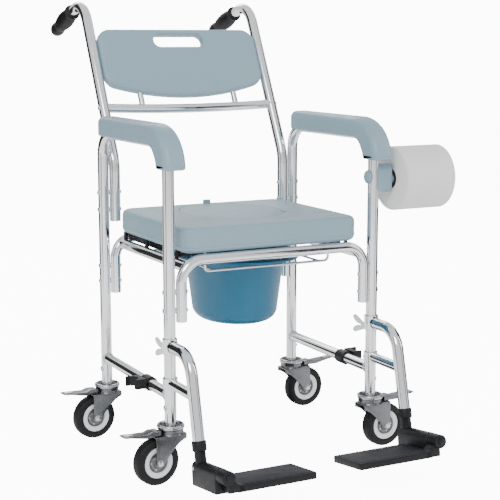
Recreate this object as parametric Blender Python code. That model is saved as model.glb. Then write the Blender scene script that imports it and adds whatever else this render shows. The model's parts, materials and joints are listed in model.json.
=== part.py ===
"""A wheeled commode chair: bolted tube frame, moulded seat, back and arm pads, bucket, footrests and casters.

Metres, +Z up. The chair faces -Y and +X is the sitter's left. Every part hangs from one empty, which is
placed so that the origin is the middle of the chair's bounding box on the floor.
"""

import math

import bmesh
import bpy
from mathutils import Matrix, Vector

# Fit
GAP = 0.0003  # clearance between touching pieces
WELD = 1e-5

# Side frames: an inverted U of 25 mm tube each side, with a lower rail
LEG_X = 0.250
REAR_Y = 0.369
TUBE_R = 0.0127
LEG_BOTTOM = 0.1285
RAIL_Z = 0.188
RAIL_R = 0.012
ARM_Z = 0.7193
ARM_BEND = 0.055

# Seat bows and seat rails, bolted inside the legs
BOW_R = 0.0118
BOW_BOTTOM = 0.345
BOW_TOP = 0.4735
BOW_BEND = 0.047
FRONT_BOW = (0.2240, -0.004)
REAR_BOW = (0.2274, 0.3585)
SEAT_RAIL_X = 0.210
SEAT_RAIL_Z = 0.4595

# Back: the same tube as the side frames
BACK_R = 0.0127
BACK_X = 0.2220
BACK_BOTTOM = 0.512
BACK_KINK_Z = 0.649
BACK_LEAN = math.radians(26.5)
BACK_LENGTH = 0.4175
BACK_KINK_BEND = 0.10
HANDLE_DROP = math.radians(20.0)
HANDLE_LENGTH = 0.200
HANDLE_BEND = 0.065
GRIP_START = 0.081  # from the corner of the handle bend to the grip's flange
CROSSBAR_R = 0.0110
CROSSBAR_ALONG = 0.1358
CROSSBAR_SAG = 0.006
POST_R = 0.007
POST_X = 0.1235
POST_TOP = 0.200

# Backrest panel, along the lean from the kink
PANEL_HALF = 0.2085
PANEL_BOTTOM = 0.1559
PANEL_CORNER_BOTTOM = 0.1835
PANEL_TOP = 0.3352
PANEL_CORNER = 0.034
PANEL_THICK = 0.024
PANEL_OFFSET = -0.002
SLOT_HALF = 0.066
SLOT_LOW = 0.287
SLOT_HIGH = 0.322

# Arm pads
PAD_HALF = 0.0250
PAD_TOP = 0.758
PAD_SKIRT = 0.7135
PAD_REAR = 0.340
PAD_FRONT = -0.0455
PAD_BACKSIDE = 0.0155
PAD_LOW = 0.667

# Seat and lid
SEAT_HALF = 0.215
SEAT_FRONT = -0.006
SEAT_REAR = 0.373
SEAT_LOW = 0.4858
SEAT_TOP = 0.541
SEAT_CORNER = 0.036
LID_CENTRE_Y = 0.211
LID_HALF_X = 0.1134
LID_HALF_Y = 0.1416
LID_THICK = 0.0115
HOLE_HALF_X = 0.098
HOLE_HALF_Y = 0.126
NOTCH_ANGLE = math.radians(-29.0)
NOTCH_R = 0.0055

# Bucket and its wire rack
BUCKET_Y = 0.195
BUCKET_STRETCH = 1.2
BUCKET_RIM_Z = 0.4505
BUCKET_LIP_R = 0.143
BUCKET_TOP_R = 0.1090
BUCKET_LOW_R = 0.0945
BUCKET_CORNER = (0.032, 0.030)
BUCKET_BOTTOM = 0.294
BUCKET_WALL = 0.0025
RACK_R = 0.003
RACK_Z = 0.441
RACK_FRONT_Y = 0.031
RACK_REAR_Y = 0.338
RACK_RAIL_X = 0.130
RACK_END_X = 0.152
RACK_BEND = 0.008

# Toilet-roll holder on the sitter's-left front leg
ROLL_Z = 0.621
ROLL_R = 0.072
ROLL_CORE_R = 0.0215
ROLL_NEAR_X = 0.296
ROLL_LENGTH = 0.128
SPINDLE_R = 0.0185
KNOB_R = 0.0152

# Footrest hangers: each swings on two sleeves round the front leg
HANGER_TOP = 0.2955
HANGER_LEAN = math.radians(13.3)
HANGER_CORNER_Y = -0.100
HANGER_BEND = 0.055
HANGER_LOW = 0.120
STRUT_Z = 0.2155
STRUT_R = 0.011
SLEEVE_R = 0.0160
SLEEVE_BORE = 0.0136
UPPER_SLEEVE = (0.278, 0.312)
LOWER_SLEEVE = (0.2035, 0.2275)
WING_Z = 0.280

# Rail clips, which hold the hangers swung right back
STORED = math.radians(160.0)
CLIP_LOW = 0.181
CLIP_HIGH = 0.2028
JAW_HALF = 0.0165
BAND_R = 0.0160

# Foot brackets and plates, in a frame on the flip axis, tilted toe up
FOOT_Y = -0.200
FOOT_Z = 0.081
FOOT_TILT = math.radians(-7.5)
BARREL_R = 0.0150
BLOCK_REAR = 0.066
BLOCK_FRONT = -0.0450
BLOCK_LOW = -0.036
KNUCKLE_FRONT = -0.0780
PLATE_INNER = 0.199
PLATE_OUTER = 0.0185
PLATE_REAR = 0.037
PLATE_TOP = -0.017
PLATE_THICK = 0.015
HINGE_PIN_R = 0.0035

# Casters
WHEEL_R = 0.0505
WHEEL_WIDTH = 0.030
TYRE_BORE = 0.0340
TRAIL = 0.037
RACE_R = 0.0295
RACE_LOW = 0.1190
HOUSING_R = 0.0278
HOUSING_TOP = 0.1186
FORK_TOP = 0.1072
FORK_GAP = 0.0170
FORK_PLATE = 0.0025
FORK_ENDS = (-0.0285, 0.0455)
AXLE_R = 0.004
PEDAL_X = 0.0475
PEDAL_Z = 0.1115
PEDAL_REACH = 0.118
PEDAL_HALF = 0.015
RIGHT_HEADING = math.radians(187.0)
LEFT_HEADING = math.radians(3.0)

SIDES = {"right": -1, "left": 1}


# ---------------------------------------------------------------- scene helpers


def clear_scene():
    for obj in list(bpy.data.objects):
        bpy.data.objects.remove(obj, do_unlink=True)


def material(name, colour, roughness, metallic=0.0):
    made = bpy.data.materials.new(name)
    made.use_nodes = True
    shader = made.node_tree.nodes["Principled BSDF"]
    shader.inputs["Base Color"].default_value = (*colour, 1.0)
    shader.inputs["Roughness"].default_value = roughness
    shader.inputs["Metallic"].default_value = metallic
    return made


def empty(name, location, parent=None, rotation=(0.0, 0.0, 0.0)):
    made = bpy.data.objects.new(name, None)
    made.location = location
    made.rotation_euler = rotation
    made.parent = parent
    bpy.context.scene.collection.objects.link(made)
    return made


def add(name, mesh, look, parent, location=(0.0, 0.0, 0.0), rotation=(0.0, 0.0, 0.0)):
    made = bpy.data.objects.new(name, mesh)
    made.location = location
    made.rotation_euler = rotation
    made.parent = parent
    if look is not None:
        mesh.materials.append(look)
        mesh.shade_smooth()
        mesh.set_sharp_from_angle(angle=math.radians(35.0))
    bpy.context.scene.collection.objects.link(made)
    return made


def cutter(mesh, parent, location=(0.0, 0.0, 0.0), rotation=(0.0, 0.0, 0.0)):
    made = add("cutter", mesh, None, parent, location, rotation)
    made.hide_render = True
    made.display_type = "WIRE"
    return made


def boolean(target, other, operation="DIFFERENCE"):
    step = target.modifiers.new(operation.title(), "BOOLEAN")
    step.operation = operation
    step.object = other


def bevel(target, width, segments=2, angle=30.0):
    step = target.modifiers.new("Bevel", "BEVEL")
    step.width = width
    step.segments = segments
    step.limit_method = "ANGLE"
    step.angle_limit = math.radians(angle)


# ---------------------------------------------------------------- mesh helpers


def finished(shape, name):
    """The bmesh as a new mesh, welded and with its faces pointing out."""
    bmesh.ops.remove_doubles(shape, verts=shape.verts, dist=WELD)
    bmesh.ops.recalc_face_normals(shape, faces=shape.faces)
    mesh = bpy.data.meshes.new(name)
    shape.to_mesh(mesh)
    shape.free()
    return mesh


def rounded(corners, radius, steps=5):
    """A polyline with each inner corner an arc; radius is one number, or one for each inner corner."""
    points = [Vector(corner) for corner in corners]
    radii = radius if isinstance(radius, (list, tuple)) else [radius] * (len(points) - 2)
    path = [points[0]]
    for before, corner, after, bend in zip(points, points[1:], points[2:], radii):
        towards = (before - corner).normalized()
        away = (after - corner).normalized()
        half = towards.angle(away) / 2
        centre = corner + (towards + away).normalized() * (bend / math.sin(half))
        start = corner + towards * (bend / math.tan(half)) - centre
        end = corner + away * (bend / math.tan(half)) - centre
        turn = start.angle(end)
        axis = start.cross(end).normalized()
        for step in range(steps + 1):
            path.append(centre + Matrix.Rotation(turn * step / steps, 3, axis) @ start)
    path.append(points[-1])
    return path


def rod_mesh(name, path, radius, resolution=4):
    """A round bar of 4 + 2 * resolution sides along the path, with flat ends."""
    data = bpy.data.curves.new(name, "CURVE")
    data.dimensions = "3D"
    data.twist_mode = "MINIMUM"
    data.bevel_depth = radius
    data.bevel_resolution = resolution
    data.use_fill_caps = True
    line = data.splines.new("POLY")
    line.points.add(len(path) - 1)
    for point, place in zip(line.points, path):
        point.co = (*place, 1.0)
    guide = bpy.data.objects.new(name, data)
    bpy.context.scene.collection.objects.link(guide)
    graph = bpy.context.evaluated_depsgraph_get()
    shape = bmesh.new()
    shape.from_mesh(guide.evaluated_get(graph).to_mesh())
    bpy.data.objects.remove(guide, do_unlink=True)
    return finished(shape, name)


def turned_mesh(name, profile, steps=24, axis="Z"):
    """The closed (radius, height) outline spun round the axis; points at radius 0 close the ends."""
    shape = bmesh.new()
    verts = [shape.verts.new((radius, 0.0, height)) for radius, height in profile]
    edges = [shape.edges.new(pair) for pair in zip(verts, verts[1:])]
    if profile[0][0] > 0:
        edges.append(shape.edges.new((verts[-1], verts[0])))
    bmesh.ops.spin(
        shape, geom=verts + edges, cent=(0, 0, 0), axis=(0, 0, 1), dvec=(0, 0, 0),
        angle=2 * math.pi, steps=steps, use_merge=True,
    )
    if axis == "X":
        shape.transform(Matrix.Rotation(math.pi / 2, 4, "Y"))
    elif axis == "Y":
        shape.transform(Matrix.Rotation(-math.pi / 2, 4, "X"))
    return finished(shape, name)


def slab_mesh(name, outline, low, high, plane="XY"):
    """The outline extruded from low to high across its plane."""
    shape = bmesh.new()
    places = {
        "XY": lambda a, b: (a, b, low),
        "YZ": lambda a, b: (low, a, b),
        "XZ": lambda a, b: (a, low, b),
    }[plane]
    face = shape.faces.new([shape.verts.new(places(a, b)) for a, b in outline])
    across = {"XY": Vector((0, 0, 1)), "YZ": Vector((1, 0, 0)), "XZ": Vector((0, 1, 0))}[plane]
    grown = bmesh.ops.extrude_face_region(shape, geom=[face])["geom"]
    moved = [item for item in grown if isinstance(item, bmesh.types.BMVert)]
    bmesh.ops.translate(shape, verts=moved, vec=across * (high - low))
    return finished(shape, name)


def box_mesh(name, low, high):
    shape = bmesh.new()
    bmesh.ops.create_cube(shape, size=1.0)
    low, high = Vector(low), Vector(high)
    bmesh.ops.scale(shape, vec=high - low, verts=shape.verts)
    bmesh.ops.translate(shape, vec=(low + high) / 2, verts=shape.verts)
    return finished(shape, name)


def arc(centre, radius_a, radius_b, start, end, steps):
    """Points of an ellipse arc, with the angles in degrees."""
    made = []
    for step in range(steps + 1):
        angle = math.radians(start + (end - start) * step / steps)
        made.append((centre[0] + radius_a * math.cos(angle), centre[1] + radius_b * math.sin(angle)))
    return made


def oval(centre, half_x, half_y, steps=40):
    return arc(centre, half_x, half_y, 0, 360, steps)[:-1]


def rounded_rectangle(low, high, corner, steps=5):
    (x0, y0), (x1, y1) = low, high
    points = arc((x1 - corner, y1 - corner), corner, corner, 0, 90, steps)
    points += arc((x0 + corner, y1 - corner), corner, corner, 90, 180, steps)
    points += arc((x0 + corner, y0 + corner), corner, corner, 180, 270, steps)
    points += arc((x1 - corner, y0 + corner), corner, corner, 270, 360, steps)
    return points


# ---------------------------------------------------------------- frame


def leg_path(x):
    corners = [(x, REAR_Y, LEG_BOTTOM), (x, REAR_Y, ARM_Z), (x, 0, ARM_Z), (x, 0, LEG_BOTTOM)]
    return rounded(corners, ARM_BEND)


def bow_path(place):
    x, y = place
    corners = [(-x, y, BOW_BOTTOM), (-x, y, BOW_TOP), (x, y, BOW_TOP), (x, y, BOW_BOTTOM)]
    return rounded(corners, BOW_BEND)


def back_point(x, along, offset=0.0):
    """A point in the leaning plane of the back, along it from the kink and offset towards the rear."""
    rise = Vector((0, math.sin(BACK_LEAN), math.cos(BACK_LEAN)))
    rearward = Vector((0, math.cos(BACK_LEAN), -math.sin(BACK_LEAN)))
    return Vector((x, REAR_Y, BACK_KINK_Z)) + rise * along + rearward * offset


def back_path(x):
    corner = back_point(x, BACK_LENGTH)
    end = corner + Vector((0, math.cos(HANDLE_DROP), -math.sin(HANDLE_DROP))) * HANDLE_LENGTH
    corners = [(x, REAR_Y, BACK_BOTTOM), (x, REAR_Y, BACK_KINK_Z), corner, end]
    return rounded(corners, [BACK_KINK_BEND, HANDLE_BEND])


def side_frame(side, sign, chair, looks):
    x = sign * LEG_X
    add(f"side_frame_{side}", rod_mesh("side_frame", leg_path(x), TUBE_R), looks["chrome"], chair)
    rail = rod_mesh("lower_rail", [(x, REAR_Y, RAIL_Z), (x, 0, RAIL_Z)], RAIL_R)
    rail = add(f"lower_rail_{side}", rail, looks["chrome"], chair)
    legs = rod_mesh("leg_space", leg_path(x), TUBE_R + 2 * GAP)
    boolean(rail, cutter(legs, chair))


def seat_bows(chair, looks):
    for name, place in (("front_seat_bow", FRONT_BOW), ("rear_seat_bow", REAR_BOW)):
        add(name, rod_mesh(name, bow_path(place), BOW_R), looks["chrome"], chair)
    for side, sign in SIDES.items():
        x = sign * SEAT_RAIL_X
        path = [(x, FRONT_BOW[1], SEAT_RAIL_Z), (x, REAR_BOW[1], SEAT_RAIL_Z)]
        rail = add(f"seat_rail_{side}", rod_mesh("seat_rail", path, BOW_R), looks["chrome"], chair)
        for place in (FRONT_BOW, REAR_BOW):
            boolean(rail, cutter(rod_mesh("bow_space", bow_path(place), BOW_R + 2 * GAP), chair))


def push_grip(side, sign, chair, looks):
    start = back_point(sign * BACK_X, BACK_LENGTH)
    along = Vector((0, math.cos(HANDLE_DROP), -math.sin(HANDLE_DROP)))
    bore = BACK_R + GAP
    outer = [
        (0.0190, 0.000), (0.0190, 0.005), (0.0152, 0.0065), (0.0190, 0.028), (0.0205, 0.050), (0.0182, 0.078),
        (0.0150, 0.096), (0.0152, 0.101), (0.0178, 0.112), (0.0174, 0.126), (0.0122, 0.136), (0.0, 0.1390),
    ]
    socket = HANDLE_LENGTH - GRIP_START + GAP
    profile = [(0.0, socket), (bore, socket), (bore, 0.0)] + outer
    mesh = turned_mesh("push_grip", profile, steps=16)
    grip = add(f"push_grip_{side}", mesh, looks["grip"], chair, location=start + along * GRIP_START)
    grip.rotation_euler = (-(math.pi / 2 + HANDLE_DROP), 0, 0)


def back(chair, looks):
    for side, sign in SIDES.items():
        x = sign * BACK_X
        add(f"back_tube_{side}", rod_mesh("back_tube", back_path(x), BACK_R), looks["chrome"], chair)
        push_grip(side, sign, chair, looks)
    ends = 8
    path = []
    for step in range(ends + 1):
        share = 2 * step / ends - 1
        path.append(back_point(share * BACK_X, CROSSBAR_ALONG - CROSSBAR_SAG * (1 - share * share)))
    bar = add("back_crossbar", rod_mesh("back_crossbar", path, CROSSBAR_R), looks["chrome"], chair)
    for sign in SIDES.values():
        boolean(bar, cutter(rod_mesh("tube_space", back_path(sign * BACK_X), BACK_R + 2 * GAP), chair))
        x = sign * POST_X
        post = [back_point(x, CROSSBAR_ALONG - 0.002), back_point(x, POST_TOP)]
        boolean(bar, cutter(rod_mesh("post", post, POST_R), chair), "UNION")
    backrest_panel(chair, looks)


def backrest_panel(chair, looks):
    """The outline is drawn flat as (x, along) and then leans back with the tubes."""
    left = PANEL_HALF - PANEL_CORNER
    outline = arc((left, PANEL_TOP - PANEL_CORNER), PANEL_CORNER, PANEL_CORNER, 0, 90, 5)
    outline += arc((-left, PANEL_TOP - PANEL_CORNER), PANEL_CORNER, PANEL_CORNER, 90, 180, 5)
    outline += arc((-left, PANEL_CORNER_BOTTOM + PANEL_CORNER), PANEL_CORNER, PANEL_CORNER, 180, 250, 4)
    sag = 10
    for step in range(1, sag):
        share = 2 * step / sag - 1
        drop = (PANEL_CORNER_BOTTOM - PANEL_BOTTOM) * (1 - share * share)
        outline.append((share * (left + 0.012), PANEL_CORNER_BOTTOM + 0.002 - drop))
    outline += arc((left, PANEL_CORNER_BOTTOM + PANEL_CORNER), PANEL_CORNER, PANEL_CORNER, 290, 360, 4)
    front = PANEL_OFFSET - PANEL_THICK / 2
    back_face = PANEL_OFFSET + PANEL_THICK / 2
    # Flat frame: x across, y rearward, z along the lean.
    lean = empty("back_plane", (0, REAR_Y, BACK_KINK_Z), chair, (-BACK_LEAN, 0, 0))
    mesh = slab_mesh("backrest_panel", outline, front, back_face, "XZ")
    panel = add("backrest_panel", mesh, looks["pad"], lean)
    bevel(panel, 0.007, 2, 50)
    end = (SLOT_HIGH - SLOT_LOW) / 2 - 0.001
    slot = rounded_rectangle((-SLOT_HALF, SLOT_LOW), (SLOT_HALF, SLOT_HIGH), end, 4)
    boolean(panel, cutter(slab_mesh("hand_slot", slot, front - 0.01, back_face + 0.01, "XZ"), lean))
    for sign in SIDES.values():
        x = sign * POST_X
        hole = [(x, 0, PANEL_BOTTOM - 0.02), (x, 0, POST_TOP + 2 * GAP)]
        boolean(panel, cutter(rod_mesh("post_socket", hole, POST_R + 2 * GAP), lean))


def arm_pad(side, sign, chair, looks):
    """A moulding over the arm tube that wraps round it where it turns down to the front leg."""
    x = sign * LEG_X
    bend_y, bend_z = ARM_BEND, ARM_Z - ARM_BEND
    outline = [(PAD_REAR, PAD_SKIRT), (PAD_REAR, PAD_TOP)]
    outline += arc((bend_y, PAD_LOW), bend_y - PAD_FRONT, PAD_TOP - PAD_LOW, 90, 180, 8)
    outline += [(PAD_BACKSIDE, PAD_LOW)]
    outline += arc((bend_y, bend_z), bend_y - PAD_BACKSIDE, bend_y - PAD_BACKSIDE, 176, 100, 5)
    outline += [(bend_y + 0.012, PAD_SKIRT)]
    mesh = slab_mesh("arm_pad", outline, x - PAD_HALF, x + PAD_HALF, "YZ")
    pad = add(f"arm_pad_{side}", mesh, looks["pad"], chair)
    bevel(pad, 0.0095, 2, 60)
    boolean(pad, cutter(rod_mesh("arm_space", leg_path(x), TUBE_R + GAP), chair))


# ---------------------------------------------------------------- seat and bucket


def seat(chair, looks):
    outline = rounded_rectangle((-SEAT_HALF, SEAT_FRONT), (SEAT_HALF, SEAT_REAR), SEAT_CORNER, 6)
    mesh = slab_mesh("seat", outline, SEAT_LOW, SEAT_TOP)
    slab = add("seat", mesh, looks["pad"], chair)
    bevel(slab, 0.010, 3, 50)
    centre = (0, LID_CENTRE_Y)
    hole = oval(centre, HOLE_HALF_X, HOLE_HALF_Y)
    boolean(slab, cutter(slab_mesh("seat_hole", hole, SEAT_LOW - 0.01, SEAT_TOP + 0.01), chair))
    recess = oval(centre, LID_HALF_X + 2 * GAP, LID_HALF_Y + 2 * GAP)
    floor = SEAT_TOP - LID_THICK - GAP
    boolean(slab, cutter(slab_mesh("lid_recess", recess, floor, SEAT_TOP + 0.01), chair))
    notch = [
        LID_HALF_X * math.cos(NOTCH_ANGLE),
        LID_CENTRE_Y + LID_HALF_Y * math.sin(NOTCH_ANGLE),
    ]
    drill = rod_mesh("finger_notch", [(*notch, SEAT_TOP - LID_THICK), (*notch, SEAT_TOP + 0.01)], NOTCH_R)
    boolean(slab, cutter(drill, chair))
    lift = empty("lid_lift", (0, LID_CENTRE_Y, SEAT_TOP), chair)
    cap = slab_mesh("seat_lid", oval((0, 0), LID_HALF_X, LID_HALF_Y), -LID_THICK, 0)
    lid = add("seat_lid", cap, looks["pad"], lift)
    bevel(lid, 0.002, 1, 50)


def bucket(chair, looks):
    slide = empty("bucket_slide", (0, BUCKET_Y, RACK_Z), chair)
    rim = BUCKET_RIM_Z - RACK_Z
    low = BUCKET_BOTTOM - RACK_Z
    lip = RACK_R + 2 * GAP
    wall = BUCKET_WALL
    outer = [(BUCKET_LIP_R, rim), (BUCKET_LIP_R, lip), (BUCKET_TOP_R, lip)]
    wide, tall = BUCKET_CORNER
    turn = (BUCKET_LOW_R - wide, low + tall)
    outer += arc(turn, wide, tall, -6, -90, 5)
    outer += [(0.0, low)]
    inner = [(0.0, low + wall)]
    inner += arc(turn, wide - wall, tall - wall, -90, -6, 4)
    inner += [(BUCKET_TOP_R - wall, lip + wall), (BUCKET_TOP_R - wall, rim)]
    mesh = turned_mesh("bucket", inner + outer, steps=28)
    mesh.transform(Matrix.Diagonal((1, BUCKET_STRETCH, 1, 1)))
    add("bucket", mesh, looks["bucket"], slide)
    top = SEAT_LOW - 0.001
    front = [(-RACK_END_X, RACK_FRONT_Y, top), (-RACK_END_X, RACK_FRONT_Y, RACK_Z)]
    front += [(RACK_END_X, RACK_FRONT_Y, RACK_Z), (RACK_END_X, RACK_FRONT_Y, top)]
    wire = rod_mesh("bucket_rack", rounded(front, RACK_BEND, 3), RACK_R, 2)
    rack = add("bucket_rack", wire, looks["wire"], chair)
    for sign in SIDES.values():
        side, end = sign * RACK_RAIL_X, sign * (RACK_END_X + 0.002)
        rail = [(side, RACK_FRONT_Y, RACK_Z), (side, RACK_REAR_Y, RACK_Z)]
        rail += [(end, RACK_REAR_Y, RACK_Z), (end, RACK_REAR_Y, top)]
        # A little thinner than the front wire, so that their faces don't meet edge to edge.
        wire = rod_mesh("rack_rail", rounded(rail, RACK_BEND, 3), RACK_R - 0.0004, 2)
        boolean(rack, cutter(wire, chair), "UNION")


# ---------------------------------------------------------------- toilet-roll holder


def roll_holder(chair, looks):
    outline = [
        (-0.017, ROLL_Z - 0.020), (-0.010, ROLL_Z - 0.028), (0.010, ROLL_Z - 0.028), (0.017, ROLL_Z - 0.020),
        (0.017, ROLL_Z + 0.022), (0.010, ROLL_Z + 0.034), (-0.010, ROLL_Z + 0.034), (-0.017, ROLL_Z + 0.022),
    ]
    block = slab_mesh("roll_clamp", outline, LEG_X + 0.004, ROLL_NEAR_X - 0.006, "YZ")
    clamp = add("roll_clamp", block, looks["pad"], chair)
    bevel(clamp, 0.0015, 1, 30)
    boolean(clamp, cutter(rod_mesh("leg_space", leg_path(LEG_X), TUBE_R + GAP), chair))
    spindle = [
        (0.0, 0.0), (0.012, 0.0), (0.012, 0.006), (SPINDLE_R, 0.008), (SPINDLE_R, ROLL_LENGTH - 0.002),
        (SPINDLE_R - 0.002, ROLL_LENGTH), (0.0, ROLL_LENGTH),
    ]
    place = (ROLL_NEAR_X - 0.006 + GAP, 0, ROLL_Z)
    add("roll_spindle", turned_mesh("roll_spindle", spindle, 20, "X"), looks["pad"], chair, place)
    spin = empty("roll_spin", (ROLL_NEAR_X, 0, ROLL_Z), chair)
    paper = [(ROLL_CORE_R, 0.0), (ROLL_CORE_R, ROLL_LENGTH), (ROLL_R, ROLL_LENGTH), (ROLL_R, 0.0)]
    add("toilet_roll", turned_mesh("toilet_roll", paper, 32, "X"), looks["paper"], spin)
    turn = empty("knob_turn", (LEG_X - TUBE_R, 0, ROLL_Z + 0.006), chair)
    dome = [(0.0, -0.0084), (0.007, -0.0076), (0.0118, -0.0056), (KNOB_R, -0.0020)]
    dome += [(KNOB_R, -GAP), (0.0, -GAP)]
    add("roll_clamp_knob", turned_mesh("roll_clamp_knob", dome, 20, "X"), looks["pad"], turn)


# ---------------------------------------------------------------- footrests


def hanger(side, sign, chair, looks):
    swing = empty(f"hanger_swing_{side}", (sign * LEG_X, 0, 0), chair)
    drop = Vector((0, -math.sin(HANGER_LEAN), -math.cos(HANGER_LEAN)))
    corner = Vector((0, HANGER_CORNER_Y, HANGER_TOP))
    low = corner + drop * ((HANGER_TOP - HANGER_LOW) / math.cos(HANGER_LEAN))
    path = rounded([(0, 0, HANGER_TOP), corner, low], HANGER_BEND, 6)
    tube = add(f"hanger_tube_{side}", rod_mesh("hanger_tube", path, TUBE_R), looks["chrome"], swing)
    reach = (corner + drop * ((HANGER_TOP - STRUT_Z) / math.cos(HANGER_LEAN))).y
    strut = rod_mesh("strut", [(0, 0, STRUT_Z), (0, reach, STRUT_Z)], STRUT_R)
    boolean(tube, cutter(strut, swing), "UNION")
    for bottom, top in (UPPER_SLEEVE, LOWER_SLEEVE):
        sleeve = rod_mesh("pivot_sleeve", [(0, 0, bottom), (0, 0, top)], SLEEVE_R, 6)
        boolean(tube, cutter(sleeve, swing), "UNION")
    bore = [(0, 0, LOWER_SLEEVE[0] - 0.01), (0, 0, UPPER_SLEEVE[1] + 0.01)]
    boolean(tube, cutter(rod_mesh("leg_bore", bore, SLEEVE_BORE, 6), swing))
    foot = empty(f"foot_frame_{side}", (0, FOOT_Y, FOOT_Z), swing, (FOOT_TILT, 0, 0))
    foot_bracket(side, swing, foot, low, -drop, looks)
    footplate(side, sign, foot, looks)
    wing_knob(side, swing, looks)


def foot_bracket(side, swing, foot, tube_end, up, looks):
    """A moulded block under the hanger tube, with the flip hinge's barrel along its top."""
    outline = [(-BARREL_R, BLOCK_LOW), (BARREL_R, BLOCK_LOW)] + arc((0, 0), BARREL_R, BARREL_R, 0, 180, 8)
    mesh = slab_mesh("foot_bracket", outline, BLOCK_FRONT, BLOCK_REAR, "XZ")
    block = add(f"foot_bracket_{side}", mesh, looks["black"], foot)
    ring_top = 0.009
    neck = [
        (0.0, -0.050), (0.0122, -0.050), (0.0118, -0.012), (0.0150, -0.011), (0.0150, ring_top),
        (TUBE_R + GAP, ring_top), (TUBE_R + GAP, -GAP), (0.0, -GAP),
    ]
    turn = Vector((0, 0, 1)).rotation_difference(up).to_euler()
    socket = turned_mesh("tube_socket", neck, 16)
    boolean(block, cutter(socket, swing, tube_end, turn), "UNION")
    bore = rod_mesh("hinge_bore", [(0, BLOCK_FRONT - 0.01, 0), (0, 0.0312, 0)], HINGE_PIN_R + 2 * GAP, 3)
    boolean(block, cutter(bore, foot))


def footplate(side, sign, foot, looks):
    flip = empty(f"plate_flip_{side}", (0, 0, 0), foot)
    inner, outer = sorted((-sign * PLATE_INNER, -sign * PLATE_OUTER))
    front = KNUCKLE_FRONT + 0.004
    outline = rounded_rectangle((inner, front), (outer, PLATE_REAR), 0.006, 3)
    mesh = slab_mesh("footplate", outline, PLATE_TOP - PLATE_THICK, PLATE_TOP)
    plate = add(f"footplate_{side}", mesh, looks["plate"], flip)
    bevel(plate, 0.002, 1, 50)
    knuckle_back = BLOCK_FRONT - 0.0005
    low, high = sorted((-sign * 0.034, sign * 0.0))
    web = box_mesh("web", (low, front, PLATE_TOP - PLATE_THICK + 0.001), (high, knuckle_back, -0.004))
    boolean(plate, cutter(web, flip), "UNION")
    barrel = rod_mesh("knuckle", [(0, KNUCKLE_FRONT, 0), (0, knuckle_back, 0)], BARREL_R - 0.0002, 5)
    boolean(plate, cutter(barrel, flip), "UNION")
    bore = [(0, KNUCKLE_FRONT - 0.01, 0), (0, knuckle_back + 0.01, 0)]
    boolean(plate, cutter(rod_mesh("pin_bore", bore, HINGE_PIN_R + 2 * GAP, 3), flip))
    head = KNUCKLE_FRONT - GAP
    shape = [
        (0.0, head - 0.003), (0.005, head - 0.003), (0.0065, head - 0.0018), (0.0065, head),
        (HINGE_PIN_R, head), (HINGE_PIN_R, 0.031), (0.0, 0.031),
    ]
    pin = turned_mesh("footplate_pin", shape, 12)
    pin.transform(Matrix.Rotation(-math.pi / 2, 4, "X"))
    add(f"footplate_pin_{side}", pin, looks["steel"], foot)


def wing_knob(side, swing, looks):
    """The release knob behind the leg: a hub on the upper sleeve and two flat wings that flare rearwards."""
    turn = empty(f"wing_turn_{side}", (0, SLEEVE_R + GAP, WING_Z), swing)
    upper = [
        (0.001, 0.0060), (0.014, 0.0075), (0.044, 0.0190), (0.056, 0.0195), (0.0585, 0.0140),
        (0.050, 0.0060), (0.024, 0.0015),
    ]
    outline = upper + [(a, -b) for a, b in reversed(upper)]
    mesh = slab_mesh("wing_knob", outline, -0.0022, 0.0022, "YZ")
    knob = add(f"wing_knob_{side}", mesh, looks["clear"], turn)
    hub = rod_mesh("wing_hub", [(0, 0, 0), (0, 0.0180, 0)], 0.0068, 3)
    boolean(knob, cutter(hub, turn), "UNION")


def rail_clip(side, sign, chair, looks):
    """A band round the lower rail with a jaw, open outwards, for the tube of the hanger swung right back."""
    reach = -HANGER_CORNER_Y + (HANGER_TOP - (CLIP_LOW + CLIP_HIGH) / 2) * math.tan(HANGER_LEAN)
    held = (math.sin(STORED) * reach, -math.cos(STORED) * reach)
    out, back = held
    root = RAIL_R + 0.002
    jaw = [(root, back - 0.0215), (out - 0.008, back - 0.0215), (out - 0.004, back - 0.0180)]
    jaw += arc(held, JAW_HALF, JAW_HALF, 262, 90, 9)
    jaw += [(out + 0.004, back + JAW_HALF), (out + 0.004, back + 0.0205), (root, back + 0.0205)]
    outline = [(sign * (LEG_X + a), b) for a, b in jaw]
    mesh = slab_mesh("rail_clip", outline, CLIP_LOW, CLIP_HIGH)
    clip = add(f"rail_clip_{side}", mesh, looks["black"], chair)
    low, high = back - 0.016, back + 0.016
    band = rod_mesh("clip_band", [(sign * LEG_X, low, RAIL_Z), (sign * LEG_X, high, RAIL_Z)], BAND_R, 6)
    boolean(clip, cutter(band, chair), "UNION")
    rail = [(sign * LEG_X, low - 0.03, RAIL_Z), (sign * LEG_X, high + 0.03, RAIL_Z)]
    boolean(clip, cutter(rod_mesh("rail_space", rail, TUBE_R + GAP), chair))


# ---------------------------------------------------------------- casters


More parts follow.
